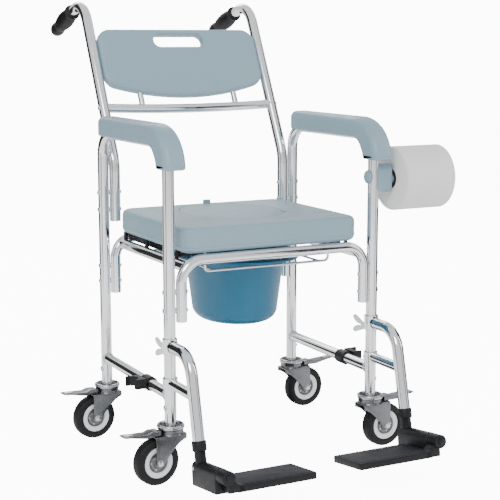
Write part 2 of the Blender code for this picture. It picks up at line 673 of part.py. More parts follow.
def caster(name, x, y, heading, chair, looks):
    top = LEG_BOTTOM - GAP
    race = [
        (0.0, RACE_LOW), (RACE_R - 0.001, RACE_LOW), (RACE_R, RACE_LOW + 0.001), (RACE_R, top - 0.003),
        (RACE_R - 0.002, top - 0.001), (RACE_R - 0.005, top - 0.001), (RACE_R - 0.006, top - 0.005),
        (TUBE_R + 0.001, top - 0.005), (TUBE_R, top), (0.0, top),
    ]
    mesh = turned_mesh("caster_race", race, 16)
    add(f"caster_race_{name}", mesh, looks["zinc"], chair, (x, y, 0))
    swivel = empty(f"caster_swivel_{name}", (x, y, 0), chair, (0, 0, heading))
    fork(name, swivel, looks)
    wheel = empty(f"wheel_spin_{name}", (TRAIL, 0, WHEEL_R), swivel)
    half = WHEEL_WIDTH / 2
    tread = [
        (TYRE_BORE, -half + 0.002), (TYRE_BORE, half - 0.002), (0.0390, half), (0.0478, half - 0.0020),
        (WHEEL_R, half - 0.0060), (WHEEL_R, -half + 0.0060), (0.0478, -half + 0.0020), (0.0390, -half),
    ]
    add(f"tyre_{name}", turned_mesh("tyre", tread, 24, "Y"), looks["rubber"], wheel)
    bore, rim = AXLE_R + 2 * GAP, TYRE_BORE - 2 * GAP
    disc = [
        (bore, -half + 0.001), (bore, half - 0.001), (0.012, half - 0.001), (0.016, half - 0.005),
        (0.024, half - 0.0025), (rim, half - 0.0025), (rim, -half + 0.0025), (0.024, -half + 0.0025),
        (0.016, -half + 0.005), (0.012, -half + 0.001),
    ]
    add(f"wheel_hub_{name}", turned_mesh("wheel_hub", disc, 20, "Y"), looks["hub"], wheel)
    reach = FORK_GAP + FORK_PLATE + GAP
    bolt = [
        (0.0, -reach - 0.004), (0.0065, -reach - 0.004), (0.0072, -reach), (AXLE_R, -reach), (AXLE_R, reach),
        (0.0072, reach), (0.0065, reach + 0.004), (0.0, reach + 0.004),
    ]
    mesh = turned_mesh("axle_bolt", bolt, 12, "Y")
    add(f"axle_bolt_{name}", mesh, looks["steel"], swivel, (TRAIL, 0, WHEEL_R))
    brake_pedal(name, swivel, looks)


def fork(name, swivel, looks):
    """Two cheek plates down to the axle, a bridge plate over the wheel and the swivel's round housing."""
    rear, front = FORK_ENDS
    cheek = [(rear, FORK_TOP - 0.010), (rear, FORK_TOP), (front, FORK_TOP), (front, WHEEL_R)]
    cheek += arc((TRAIL, WHEEL_R), 0.0105, 0.0105, -15, -150, 5)
    inside = FORK_GAP + 0.001
    bridge = box_mesh("fork", (rear, -inside, FORK_TOP - FORK_PLATE), (front, inside, FORK_TOP))
    plates = add(f"caster_fork_{name}", bridge, looks["zinc"], swivel)
    for low in (-FORK_GAP - FORK_PLATE, FORK_GAP):
        boolean(plates, cutter(slab_mesh("cheek", cheek, low, low + FORK_PLATE, "XZ"), swivel), "UNION")
    housing = rod_mesh("housing", [(0, 0, FORK_TOP - 0.0018), (0, 0, HOUSING_TOP)], HOUSING_R, 8)
    boolean(plates, cutter(housing, swivel), "UNION")
    hole = rod_mesh("axle_hole", [(TRAIL, -0.03, WHEEL_R), (TRAIL, 0.03, WHEEL_R)], AXLE_R + GAP, 3)
    boolean(plates, cutter(hole, swivel))


def brake_pedal(name, swivel, looks):
    """A pressed pedal hinged over the wheel, which a foot pushes down."""
    tilt = empty(f"pedal_tilt_{name}", (PEDAL_X, 0, PEDAL_Z), swivel)
    low = FORK_TOP + 0.0008 - PEDAL_Z
    tip = PEDAL_REACH - PEDAL_X
    heel = RACE_R + 0.0015 - PEDAL_X
    outline = [
        (heel, low), (0.020, low), (tip - 0.014, 0.0040), (tip, 0.0050), (tip, 0.0090), (tip - 0.016, 0.0090),
        (0.004, 0.0080), (heel, 0.0060),
    ]
    mesh = slab_mesh("brake_pedal", outline, -PEDAL_HALF, PEDAL_HALF, "XZ")
    pedal = add(f"brake_pedal_{name}", mesh, looks["zinc"], tilt)
    bevel(pedal, 0.0010, 1, 40)


# ---------------------------------------------------------------- whole chair


def centre_on_floor(chair):
    """Moves the chair so that the middle of its box stands on the origin."""
    bpy.context.view_layer.update()
    graph = bpy.context.evaluated_depsgraph_get()
    low, high = Vector((9.0, 9.0, 9.0)), Vector((-9.0, -9.0, -9.0))
    for obj in bpy.data.objects:
        if obj.type != "MESH" or obj.hide_render:
            continue
        shown = obj.evaluated_get(graph)
        for vertex in shown.data.vertices:
            point = shown.matrix_world @ vertex.co
            low = Vector(map(min, low, point))
            high = Vector(map(max, high, point))
    middle = (low + high) / 2
    chair.location = (-middle.x, -middle.y, -low.z)


def main():
    clear_scene()
    looks = {
        "chrome": material("chromed_tube", (0.80, 0.81, 0.83), 0.10, 1.0),
        "wire": material("chromed_wire", (0.78, 0.79, 0.81), 0.15, 1.0),
        "steel": material("bright_bolt", (0.62, 0.63, 0.65), 0.28, 1.0),
        "zinc": material("zinc_plate", (0.32, 0.33, 0.35), 0.38, 0.9),
        "pad": material("blue_grey_moulding", (0.40, 0.49, 0.54), 0.45),
        "bucket": material("teal_bucket", (0.03, 0.15, 0.26), 0.30),
        "grip": material("black_grip", (0.022, 0.022, 0.025), 0.50),
        "black": material("black_moulding", (0.030, 0.031, 0.035), 0.45),
        "plate": material("black_plate", (0.036, 0.038, 0.046), 0.50),
        "clear": material("clear_wing", (0.78, 0.79, 0.80), 0.25),
        "rubber": material("tyre_rubber", (0.024, 0.024, 0.027), 0.60),
        "hub": material("grey_hub", (0.30, 0.31, 0.33), 0.40),
        "paper": material("roll_paper", (0.70, 0.66, 0.64), 0.90),
    }
    chair = empty("chair", (0, 0, 0))
    for side, sign in SIDES.items():
        side_frame(side, sign, chair, looks)
        arm_pad(side, sign, chair, looks)
        hanger(side, sign, chair, looks)
        rail_clip(side, sign, chair, looks)
        heading = RIGHT_HEADING if sign < 0 else LEFT_HEADING
        caster(f"front_{side}", sign * LEG_X, 0, heading, chair, looks)
        caster(f"rear_{side}", sign * LEG_X, REAR_Y, heading, chair, looks)
    seat_bows(chair, looks)
    back(chair, looks)
    seat(chair, looks)
    bucket(chair, looks)
    roll_holder(chair, looks)
    centre_on_floor(chair)


main()
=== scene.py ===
import math

import bmesh
import bpy
from mathutils import Matrix, Vector
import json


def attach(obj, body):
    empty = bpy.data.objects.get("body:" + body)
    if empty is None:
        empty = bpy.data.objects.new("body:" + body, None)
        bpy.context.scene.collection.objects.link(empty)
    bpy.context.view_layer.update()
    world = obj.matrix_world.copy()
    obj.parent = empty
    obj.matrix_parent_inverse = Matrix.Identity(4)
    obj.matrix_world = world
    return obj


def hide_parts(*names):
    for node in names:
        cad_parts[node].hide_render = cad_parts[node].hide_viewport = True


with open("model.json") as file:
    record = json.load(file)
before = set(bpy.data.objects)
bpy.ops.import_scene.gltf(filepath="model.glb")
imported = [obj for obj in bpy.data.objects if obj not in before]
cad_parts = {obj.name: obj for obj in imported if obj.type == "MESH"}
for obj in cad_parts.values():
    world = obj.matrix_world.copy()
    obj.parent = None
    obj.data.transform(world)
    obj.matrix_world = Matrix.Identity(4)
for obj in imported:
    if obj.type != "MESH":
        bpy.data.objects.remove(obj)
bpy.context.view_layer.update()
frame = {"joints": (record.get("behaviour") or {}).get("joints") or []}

# ---------------- dimensions, in metres
# The chair's own frame: X 0 is its middle, Y 0 the front legs, and it faces -Y.

joints = {joint["name"]: joint for joint in frame["joints"]}
left_leg = Vector(joints["swivel_front_left_turn"]["pos_m"])
right_leg = Vector(joints["swivel_front_right_turn"]["pos_m"])
ORIGIN = Vector(((left_leg.x + right_leg.x) / 2, left_leg.y, 0.0))
LEG_X = (left_leg.x - right_leg.x) / 2
REAR_Y = joints["swivel_rear_left_turn"]["pos_m"][1] - ORIGIN.y

TUBE_R = 0.0127
LEG_BOTTOM = 0.1285
RAIL_Z = 0.188
ARM_Z = 0.7193
ARM_BEND = 0.055
BOW_R = 0.0118
BOW_BOTTOM, BOW_TOP, BOW_BEND = 0.345, 0.4735, 0.047
FRONT_BOW = (0.2240, -0.004)
REAR_BOW = (0.2274, 0.3585)
LOW_BOLT = 0.162
FRONT_BOW_BOLTS, REAR_BOW_BOLTS, BACK_BOLTS = (0.370, 0.4095), (0.373, 0.4086), (0.540, 0.580)
BOLT_R, BOLT_HEIGHT, BOLT_SINK, SMALL_BOLT_R = 0.0062, 0.0035, 0.0006, 0.0052
SPACER_R, SPACER_SINK = 0.0058, 0.0040
SEAT_RAIL_X, SEAT_RAIL_Z = 0.210, 0.4595
BACK_R, BACK_X, BACK_BOTTOM, BACK_KINK_Z = 0.0127, 0.2220, 0.512, 0.649
BACK_LEAN = math.radians(26.5)
BACK_LENGTH = 0.4175
HANDLE_DROP = math.radians(20.0)
HANDLE_LENGTH = 0.200
GRIP_START = 0.081
CROSSBAR_R, CROSSBAR_ALONG, CROSSBAR_SAG = 0.0110, 0.1358, 0.006
POST_R, POST_X, POST_TOP = 0.007, 0.1235, 0.190
PANEL_HALF, PANEL_BOTTOM, PANEL_CORNER_BOTTOM, PANEL_TOP = 0.2085, 0.1559, 0.1835, 0.3352
PANEL_CORNER, PANEL_FRONT, PANEL_BACK = 0.034, -0.014, 0.010
SLOT_HALF, SLOT_LOW, SLOT_HIGH = 0.066, 0.287, 0.322
PAD_HALF, PAD_TOP, PAD_SKIRT, PAD_REAR = 0.0250, 0.758, 0.7135, 0.340
PAD_FRONT, PAD_BACKSIDE, PAD_LOW = -0.0455, 0.0155, 0.667
SEAT_HALF, SEAT_FRONT, SEAT_REAR, SEAT_LOW, SEAT_TOP = 0.215, -0.006, 0.373, 0.4858, 0.541
SEAT_CORNER, SEAT_EDGE = 0.036, 0.0125
STRIP_NEAR_X, STRIP_FAR_X, STRIP_FRONT, STRIP_REAR, STRIP_LOW = 0.176, 0.203, 0.055, 0.372, 0.4715
LID_Y, LID_HALF_X, LID_HALF_Y, LID_THICK = 0.211, 0.1134, 0.1416, 0.0115
BUCKET_Y, BUCKET_STRETCH, BUCKET_RIM_Z, BUCKET_BOTTOM = 0.195, 1.2, 0.4505, 0.294
BUCKET_LIP_R, BUCKET_TOP_R, BUCKET_LOW_R = 0.143, 0.1090, 0.0945
BUCKET_CORNER, BUCKET_WALL = (0.032, 0.030), 0.0025
RACK_R, RACK_Z = 0.003, 0.441
RACK_FRONT_Y, RACK_REAR_Y, RACK_RAIL_X, RACK_END_X = 0.031, 0.338, 0.130, 0.152
ROLL_Z, ROLL_R, ROLL_CORE_R, ROLL_NEAR_X, ROLL_LENGTH = 0.621, 0.072, 0.0215, 0.296, 0.128
HANGER_TOP, HANGER_CORNER_Y, HANGER_BEND, HANGER_LOW = 0.2955, -0.100, 0.055, 0.120
HANGER_LEAN = math.radians(13.3)
STRUT_Z, STRUT_R = 0.2155, 0.011
SLEEVE_R, WING_Z = 0.0160, 0.280
SLEEVES = {"upper": (0.278, 0.312), "lower": (0.2035, 0.2275)}
FOOT_Y, FOOT_Z, FOOT_TILT = -0.200, 0.081, math.radians(-7.5)
BARREL_R, BLOCK_REAR, BLOCK_FRONT, BLOCK_LOW = 0.0150, 0.066, -0.0450, -0.036
KNUCKLE_FRONT, PLATE_INNER, PLATE_OUTER, PLATE_REAR = -0.0780, 0.199, 0.0185, 0.037
PLATE_TOP, PLATE_THICK = -0.017, 0.015
CLIP_TURN = math.radians(160.0)
CLIP_LOW, CLIP_HIGH, JAW_R, JAW_REACH, BAND_LENGTH = 0.181, 0.2028, 0.0165, 0.0205, 0.032
WHEEL_R, WHEEL_WIDTH, TRAIL, TYRE_BORE = 0.0505, 0.030, 0.037, 0.0340
HUB_DOTS, HUB_DOT_AT = 5, 0.0163
RACE_R, RACE_LOW, HOUSING_R, HOUSING_TOP = 0.0295, 0.1190, 0.0278, 0.1186
FORK_TOP, FORK_GAP, FORK_PLATE, FORK_ENDS = 0.1072, 0.0170, 0.0025, (-0.0285, 0.0455)
PEDAL_X, PEDAL_Z, PEDAL_REACH, PEDAL_HALF = 0.0475, 0.1115, 0.118, 0.0149
HEADINGS = {"right": math.radians(187.0), "left": math.radians(3.0)}
SIDES = {"right": -1, "left": 1}

# Studio: how bright the sky and the floor's glow are to diffuse light, to the camera and to gloss
SKY = (0.80, 12.0, 1.05)
FLOOR_GLOW = (0.30, 11.0, 0.55)
# Black flags that only gloss sees: upright ones, each (bearing in degrees, distance, width, height),
# and one (width, depth) that lies just above the floor under the chair
FLAGS = ((-12.0, 1.5, 1.20, 1.9), (135.0, 1.5, 1.20, 1.9), (200.0, 2.0, 0.42, 1.9), (300.0, 2.0, 0.34, 1.9))
FLOOR_FLAG, FLOOR_FLAG_Z = (0.46, 0.34), 0.004
# Camera: where it stands in the chair's own frame, which way it faces and how long its lens is
CAMERA_PLACE = (-1.31165, -2.40346, 0.93315)
CAMERA_HEADING, CAMERA_PITCH, CAMERA_LENS = 0.4800, 0.16403, 92.4

# ---------------- materials


PATCHES, RELIEF_DEPTH = 14.0, 0.0004


def put(node, **values):
    """Sets input sockets by name, with underscores for the spaces."""
    for name, value in values.items():
        node.inputs[name.replace("_", " ")].default_value = value


def surface(name, colour, rough, metallic=0.0, grain=300.0, bump=0.05, mottle=0.04, rough_spread=0.08,
            coat=0.0, sheen=0.0, specular=0.5):
    """A Principled surface with mottled colour, uneven roughness and a fine grain in relief."""
    made = bpy.data.materials.new(name)
    made.use_nodes = True
    nodes, links = made.node_tree.nodes, made.node_tree.links
    shader = nodes["Principled BSDF"]
    put(shader, Metallic=metallic, Specular_IOR_Level=specular)
    if coat:
        put(shader, Coat_Weight=coat, Coat_Roughness=0.12)
    if sheen:
        put(shader, Sheen_Weight=sheen)
    place = nodes.new("ShaderNodeTexCoord")

    def noise(size, detail=4.0):
        texture = nodes.new("ShaderNodeTexNoise")
        put(texture, Scale=size, Detail=detail)
        links.new(place.outputs["Object"], texture.inputs["Vector"])
        return texture.outputs["Fac"]

    def ramp(source, low, high):
        curve = nodes.new("ShaderNodeMapRange")
        put(curve, From_Min=0.3, From_Max=0.7, To_Min=low, To_Max=high)
        links.new(source, curve.inputs["Value"])
        return curve.outputs["Result"]

    mix = nodes.new("ShaderNodeMix")
    mix.data_type = "RGBA"
    worn = [value * (1 - 2.5 * mottle) for value in colour]
    mix.inputs[6].default_value = (*worn, 1)
    mix.inputs[7].default_value = (*colour, 1)
    links.new(ramp(noise(PATCHES), 0.2, 1.0), mix.inputs["Factor"])
    links.new(mix.outputs[2], shader.inputs["Base Color"])
    links.new(ramp(noise(PATCHES * 3, 6.0), max(rough - rough_spread, 0.02), rough + rough_spread),
              shader.inputs["Roughness"])
    relief = nodes.new("ShaderNodeBump")
    put(relief, Strength=bump, Distance=RELIEF_DEPTH)
    links.new(noise(grain, 3.0), relief.inputs["Height"])
    links.new(relief.outputs["Normal"], shader.inputs["Normal"])
    return made


def paper_surface():
    """Wound tissue: soft, with rows of small embossed dots."""
    made = surface("roll_paper_skin", (0.93, 0.90, 0.885), 0.92, bump=0.25, grain=160, mottle=0.02, sheen=0.3)
    nodes, links = made.node_tree.nodes, made.node_tree.links
    place = next(node for node in nodes if node.type == "TEX_COORD")
    relief = next(node for node in nodes if node.type == "BUMP")
    dots = nodes.new("ShaderNodeTexVoronoi")
    put(dots, Scale=240)
    links.new(place.outputs["Object"], dots.inputs["Vector"])
    second = nodes.new("ShaderNodeBump")
    put(second, Strength=0.35, Distance=0.0006)
    links.new(dots.outputs["Distance"], second.inputs["Height"])
    links.new(relief.outputs["Normal"], second.inputs["Normal"])
    shader = nodes["Principled BSDF"]
    links.new(second.outputs["Normal"], shader.inputs["Normal"])
    return made


LOOKS = {
    "chrome": surface("chrome_skin", (0.86, 0.87, 0.89), 0.10, 1.0, grain=90, bump=0.015, mottle=0.015,
                      rough_spread=0.035),
    "wire": surface("wire_skin", (0.80, 0.81, 0.83), 0.16, 1.0, grain=300, bump=0.03, rough_spread=0.05),
    "steel": surface("steel_skin", (0.70, 0.71, 0.73), 0.26, 1.0, grain=700, bump=0.04),
    "zinc": surface("zinc_skin", (0.19, 0.195, 0.205), 0.28, 0.95, grain=500, bump=0.05, mottle=0.06),
    "race": surface("race_skin", (0.52, 0.53, 0.55), 0.26, 1.0, grain=500, bump=0.05),
    "pad": surface("blue_grey_skin", (0.268, 0.398, 0.472), 0.42, grain=900, bump=0.10, mottle=0.010,
                   coat=0.10,
                   rough_spread=0.06),
    "bucket": surface("bucket_skin", (0.012, 0.150, 0.275), 0.40, grain=900, bump=0.03, mottle=0.008,
                      rough_spread=0.03),
    "grip": surface("grip_skin", (0.008, 0.008, 0.009), 0.50, grain=700, bump=0.25, mottle=0.05,
                    rough_spread=0.03, specular=0.3),
    "black": surface("black_skin", (0.009, 0.0095, 0.0115), 0.44, grain=900, bump=0.18, mottle=0.04,
                     rough_spread=0.03,
                     specular=0.28),
    "plate": surface("plate_skin", (0.013, 0.0150, 0.0215), 0.56, grain=1100, bump=0.45, mottle=0.04,
                     rough_spread=0.03,
                     specular=0.25),
    "clear": surface("wing_skin", (0.92, 0.93, 0.94), 0.30, grain=400, bump=0.05, mottle=0.03, coat=0.3),
    "rubber": surface("tyre_skin", (0.008, 0.008, 0.0095), 0.62, grain=600, bump=0.22, mottle=0.05,
                      specular=0.3),
    "ring": surface("ring_skin", (0.93, 0.94, 0.96), 0.38, grain=500, bump=0.05, mottle=0.03),
    "hub": surface("hub_skin", (0.20, 0.205, 0.215), 0.36, 0.75, grain=500, bump=0.10, mottle=0.08),
    "core": surface("core_skin", (0.36, 0.22, 0.13), 0.85, grain=500, bump=0.15, mottle=0.08),
    # Near black, for painted shade in hollows and gaps; not a material of the chair.
    "hollow": surface("hollow_shade_skin", (0.012, 0.012, 0.013), 0.80, grain=500, bump=0.15, mottle=0.08),
    "paper": paper_surface(),
}

# ---------------- mesh helpers


def linked(name, data):
    made = bpy.data.objects.new(name, data)
    bpy.context.scene.collection.objects.link(made)
    return made


def shown(name, mesh, look, body, replaced=(), matrix=None, sharp=40.0):
    """The mesh as a piece that rides on a body; matrix is its place in the chair's own frame."""
    mesh.name = name
    mesh.materials.append(LOOKS[look])
    mesh.shade_smooth()
    mesh.set_sharp_from_angle(angle=math.radians(sharp))
    made = linked(name, mesh)
    made.matrix_world = Matrix.Translation(ORIGIN) @ (matrix or Matrix())
    bpy.context.view_layer.update()
    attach(made, body)
    if replaced:
        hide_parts(*([replaced] if isinstance(replaced, str) else replaced))
    return made


def finished(shape):
    """The shape as a mesh, with doubled points merged and its faces turned outwards."""
    bmesh.ops.remove_doubles(shape, verts=shape.verts, dist=1e-6)
    bmesh.ops.recalc_face_normals(shape, faces=shape.faces)
    mesh = bpy.data.meshes.new("shape")
    shape.to_mesh(mesh)
    shape.free()
    return mesh


def joined(shape, rings):
    """Skins the rings of points with quads and closes both ends."""
    for one, two in zip(rings, rings[1:]):
        for k in range(len(one)):
            shape.faces.new((one[k], one[(k + 1) % len(one)], two[(k + 1) % len(one)], two[k]))
    shape.faces.new(rings[0][::-1])
    shape.faces.new(rings[-1])


def mirrored(profile, kept=0):
    """The (radius, width) profile and then its mirror image, without the first kept points."""
    return profile + [(radius, -width) for radius, width in reversed(profile[kept:])]


def rounded(corners, radius, steps=16):
    """A path through the corners, each inner one turned into an arc; radius may be one for each."""
    points = [Vector(corner) for corner in corners]
    radii = radius if isinstance(radius, (list, tuple)) else [radius] * (len(points) - 2)
    path = [points[0]]
    for start, corner, after, bend in zip(points, points[1:], points[2:], radii):
        towards = (start - corner).normalized()
        away = (after - corner).normalized()
        half = towards.angle(away) / 2
        centre = corner + (towards + away).normalized() * (bend / math.sin(half))
        first = corner + towards * (bend / math.tan(half)) - centre
        last = corner + away * (bend / math.tan(half)) - centre
        turn = first.angle(last)
        axis = first.cross(last).normalized()
        for step in range(steps + 1):
            path.append(centre + Matrix.Rotation(turn * step / steps, 3, axis) @ first)
    path.append(points[-1])
    return path


def tube_mesh(path, radius, sides=32, lip=False):
    """A round bar along the path; with a lip, each end is a rolled edge round a shallow hollow."""
    path = [Vector(point) for point in path]
    tangents = []
    for index in range(len(path)):
        ahead = path[min(index + 1, len(path) - 1)] - path[max(index - 1, 0)]
        tangents.append(ahead.normalized())
    across = tangents[0].orthogonal().normalized()
    stations = []
    for point, tangent in zip(path, tangents):
        across = (across - tangent * across.dot(tangent)).normalized()
        stations.append((point, tangent, across.copy(), radius))
    if lip:
        inner = radius - 0.0016
        rim = ((0.006, inner), (0.0005, inner), (0.0, radius - 0.0008), (0.0006, radius))

        def inset(station, depth, size):
            point, tangent, side, _ = station
            return point + tangent * depth, tangent, side, size

        front = [inset(stations[0], depth, size) for depth, size in rim]
        rear = [inset(stations[-1], -depth, size) for depth, size in reversed(rim)]
        stations = front + stations[1:-1] + rear
    shape = bmesh.new()
    rings = []
    for point, tangent, side, size in stations:
        other = tangent.cross(side)
        ring = []
        for k in range(sides):
            angle = 2 * math.pi * k / sides
            ring.append(shape.verts.new(point + (side * math.cos(angle) + other * math.sin(angle)) * size))
        rings.append(ring)
    joined(shape, rings)
    return finished(shape)


def turned_mesh(profile, steps=64, axis="Z"):
    """The (radius, height) profile turned about the axis; it closes on itself if it starts off the axis."""
    shape = bmesh.new()
    verts = [shape.verts.new((radius, 0.0, height)) for radius, height in profile]
    edges = [shape.edges.new(pair) for pair in zip(verts, verts[1:])]
    if profile[0][0] > 0:
        edges.append(shape.edges.new((verts[-1], verts[0])))
    bmesh.ops.spin(shape, geom=verts + edges, cent=(0, 0, 0), axis=(0, 0, 1), dvec=(0, 0, 0),
                   angle=2 * math.pi, steps=steps, use_merge=True)
    turn = {"Z": Matrix(), "X": Matrix.Rotation(math.pi / 2, 4, "Y"),
            "Y": Matrix.Rotation(-math.pi / 2, 4, "X")}
    shape.transform(turn[axis])
    return finished(shape)


def slab_mesh(outline, low, high, plane="XY"):
    """The outline in the plane, extruded from low to high across it."""
    shape = bmesh.new()
    places = {"XY": lambda a, b: (a, b, low), "YZ": lambda a, b: (low, a, b), "XZ": lambda a,
              b: (a, low, b)}[plane]
    face = shape.faces.new([shape.verts.new(places(a, b)) for a, b in outline])
    across = {"XY": Vector((0, 0, 1)), "YZ": Vector((1, 0, 0)), "XZ": Vector((0, 1, 0))}[plane]
    grown = bmesh.ops.extrude_face_region(shape, geom=[face])["geom"]
    moved = [item for item in grown if isinstance(item, bmesh.types.BMVert)]
    bmesh.ops.translate(shape, verts=moved, vec=across * (high - low))
    return finished(shape)


def arc(centre, radius_a, radius_b, start, end, steps):
    """Points on an ellipse from the start angle to the end angle, both in degrees and both kept."""
    made = []
    for step in range(steps + 1):
        angle = math.radians(start + (end - start) * step / steps)
        made.append((centre[0] + radius_a * math.cos(angle), centre[1] + radius_b * math.sin(angle)))
    return made


def rounded_rectangle(low, high, corner, steps=12):
    (x0, y0), (x1, y1) = low, high
    x0, y0, x1, y1 = x0 + corner, y0 + corner, x1 - corner, y1 - corner
    points = []
    for turn, centre in ((0, (x1, y1)), (90, (x0, y1)), (180, (x0, y0)), (270, (x1, y0))):
        points += arc(centre, corner, corner, turn, turn + 90, steps)
    return points


def shaped(mesh, *steps):
    """The mesh after its steps, each ("BEVEL", width, segments, angle) or (Boolean operation, mesh)."""
    helper = linked("shaping", mesh)
    others = []
    for step in steps:
        if step[0] == "BEVEL":
            modifier = helper.modifiers.new("Bevel", "BEVEL")
            modifier.width, modifier.segments = step[1], step[2]
            modifier.limit_method = "ANGLE"
            modifier.angle_limit = math.radians(step[3])
        else:
            other = linked("other", step[1])
            others.append(other)
            modifier = helper.modifiers.new("Boolean", "BOOLEAN")
            modifier.operation, modifier.object, modifier.solver = step[0], other, "EXACT"
    graph = bpy.context.evaluated_depsgraph_get()
    made = bpy.data.meshes.new_from_object(helper.evaluated_get(graph))
    for extra in [helper, *others]:
        bpy.data.objects.remove(extra, do_unlink=True)
    return made


def at(x, y, z):
    return Matrix.Translation((x, y, z))


# ---------------- tubes


def leg_path(x):
    return rounded([(x, REAR_Y, LEG_BOTTOM), (x, REAR_Y, ARM_Z), (x, 0, ARM_Z), (x, 0, LEG_BOTTOM)], ARM_BEND)


def bow_path(place):
    """A seat bow: an upturned U between the legs."""
    x, y = place
    return rounded([(-x, y, BOW_BOTTOM), (-x, y, BOW_TOP), (x, y, BOW_TOP), (x, y, BOW_BOTTOM)], BOW_BEND)


def back_point(x, along):
    """The point that far up the leaning back from its kink."""
    rise = Vector((0, math.sin(BACK_LEAN), math.cos(BACK_LEAN)))
    return Vector((x, REAR_Y, BACK_KINK_Z)) + rise * along


def back_path(x):
    corner = back_point(x, BACK_LENGTH)
    end = corner + Vector((0, math.cos(HANDLE_DROP), -math.sin(HANDLE_DROP))) * HANDLE_LENGTH
    return rounded([(x, REAR_Y, BACK_BOTTOM), (x, REAR_Y, BACK_KINK_Z), corner, end], [0.10, 0.065])


def bolt(name, x, y, z, sign, radius=BOLT_R, body="frame", height=BOLT_HEIGHT):
    """A domed bolt head that stands out along X, towards sign."""
    dome = [(0.0, height), (radius * 0.45, height * 0.92), (radius * 0.8, height * 0.62),
            (radius * 0.97, height * 0.25), (radius, 0.0), (0.0, 0.0)]
    turn = Matrix() if sign > 0 else Matrix.Rotation(math.pi, 4, "Z")
    shown(name, turned_mesh(dome, 24, "X"), "steel", body, matrix=at(x, y, z) @ turn)


def spacer(name, sign, near_x, y, z):
    """A short bar from a tube's outer side, at near_x, to the leg beside it."""
    ends = [(sign * (near_x - SPACER_SINK), y, z), (sign * (LEG_X - TUBE_R + SPACER_SINK), y, z)]
    shown(name, tube_mesh(ends, SPACER_R, 24), "steel", "frame")


def side_frames():
    """Each side's bent tube, lower rail, rail welds and leg bolts."""
    weld = [(0.0, 0.0), (TUBE_R + 0.0008, 0.0), (TUBE_R + 0.0016, 0.0015), (TUBE_R + 0.0008, 0.003),
            (0.0, 0.003)]
    legs = {"front": (0, 0.0135, (LOW_BOLT, *FRONT_BOW_BOLTS)),
            "rear": (REAR_Y, -0.0105, (LOW_BOLT, *REAR_BOW_BOLTS, *BACK_BOLTS))}
    for side, sign in SIDES.items():
        x = sign * LEG_X
        shown(f"frame_tube_{side}", tube_mesh(leg_path(x), TUBE_R), "chrome", "frame", f"side_frame_{side}")
        rail = [(x, REAR_Y, RAIL_Z), (x, 0, RAIL_Z)]
        shown(f"low_rail_{side}", tube_mesh(rail, TUBE_R - 0.0007), "chrome", "frame", f"lower_rail_{side}")
        for end, (y, weld_offset, _) in legs.items():
            turn = Matrix.Rotation(math.pi / 2, 4, "X")
            shown(f"weld_{side}_{end}", turned_mesh(weld, 32), "steel", "frame",
                  matrix=at(x, y + weld_offset, RAIL_Z) @ turn)
        for end, (y, _, heights) in legs.items():
            for index, z in enumerate(heights):
                bolt(f"leg_bolt_{side}_{end}_{index}", x + sign * (TUBE_R - BOLT_SINK), y, z, sign)


def seat_bows():
    """The front and rear bows, with dark discs inside their open ends as painted shade in the tube mouths,
    and bolts through spacers to the legs.
    """
    bows = {"front": (FRONT_BOW, 0, FRONT_BOW_BOLTS), "rear": (REAR_BOW, REAR_Y, REAR_BOW_BOLTS)}
    for name, (place, leg_y, heights) in bows.items():
        x, y = place
        shown(f"{name}_bow_tube", tube_mesh(bow_path(place), BOW_R, lip=True), "chrome", "frame",
              f"{name}_seat_bow")
        for side, sign in SIDES.items():
            # A near-black disc just inside each open tube end: painted shade in the tube's mouth.
            mouth_shade = [(sign * x, y, BOW_BOTTOM + 0.0045), (sign * x, y, BOW_BOTTOM + 0.0070)]
            shown(f"{name}_bow_mouth_shade_{side}", tube_mesh(mouth_shade, BOW_R - 0.0014, 24), "hollow", "frame")
            for index, z in enumerate(heights):
                bolt(f"{name}_bow_bolt_{side}_{index}", sign * (x - BOW_R + BOLT_SINK), y, z, -sign,
                     SMALL_BOLT_R)
                spacer(f"{name}_bow_spacer_{side}_{index}", sign, x + BOW_R, (y + leg_y) / 2, z)


def seat_rails():
    """The rails between the bows, the stubs on them and the dark strips between the rails and the seat."""
    for side, sign in SIDES.items():
        x = sign * SEAT_RAIL_X
        path = [(x, FRONT_BOW[1], SEAT_RAIL_Z), (x, REAR_BOW[1], SEAT_RAIL_Z)]
        shown(f"rail_tube_{side}", tube_mesh(path, BOW_R), "chrome", "frame", f"seat_rail_{side}")
        for index, y in enumerate((0.05, 0.212, 0.335)):
            stub = [(x, y, SEAT_RAIL_Z + BOW_R - 0.001), (x, y, SEAT_LOW + 0.001)]
            shown(f"seat_stub_{side}_{index}", tube_mesh(stub, 0.0045, 20), "black", "frame")
    for side, sign in SIDES.items():
        low, high = sorted((sign * STRIP_NEAR_X, sign * STRIP_FAR_X))
        outline = rounded_rectangle((low, STRIP_FRONT), (high, STRIP_REAR), 0.006, 4)
        mesh = slab_mesh(outline, STRIP_LOW, SEAT_LOW - 0.0002)
        shown(f"seat_strip_{side}", shaped(mesh, ("BEVEL", 0.0015, 2, 50)), "black", "frame")


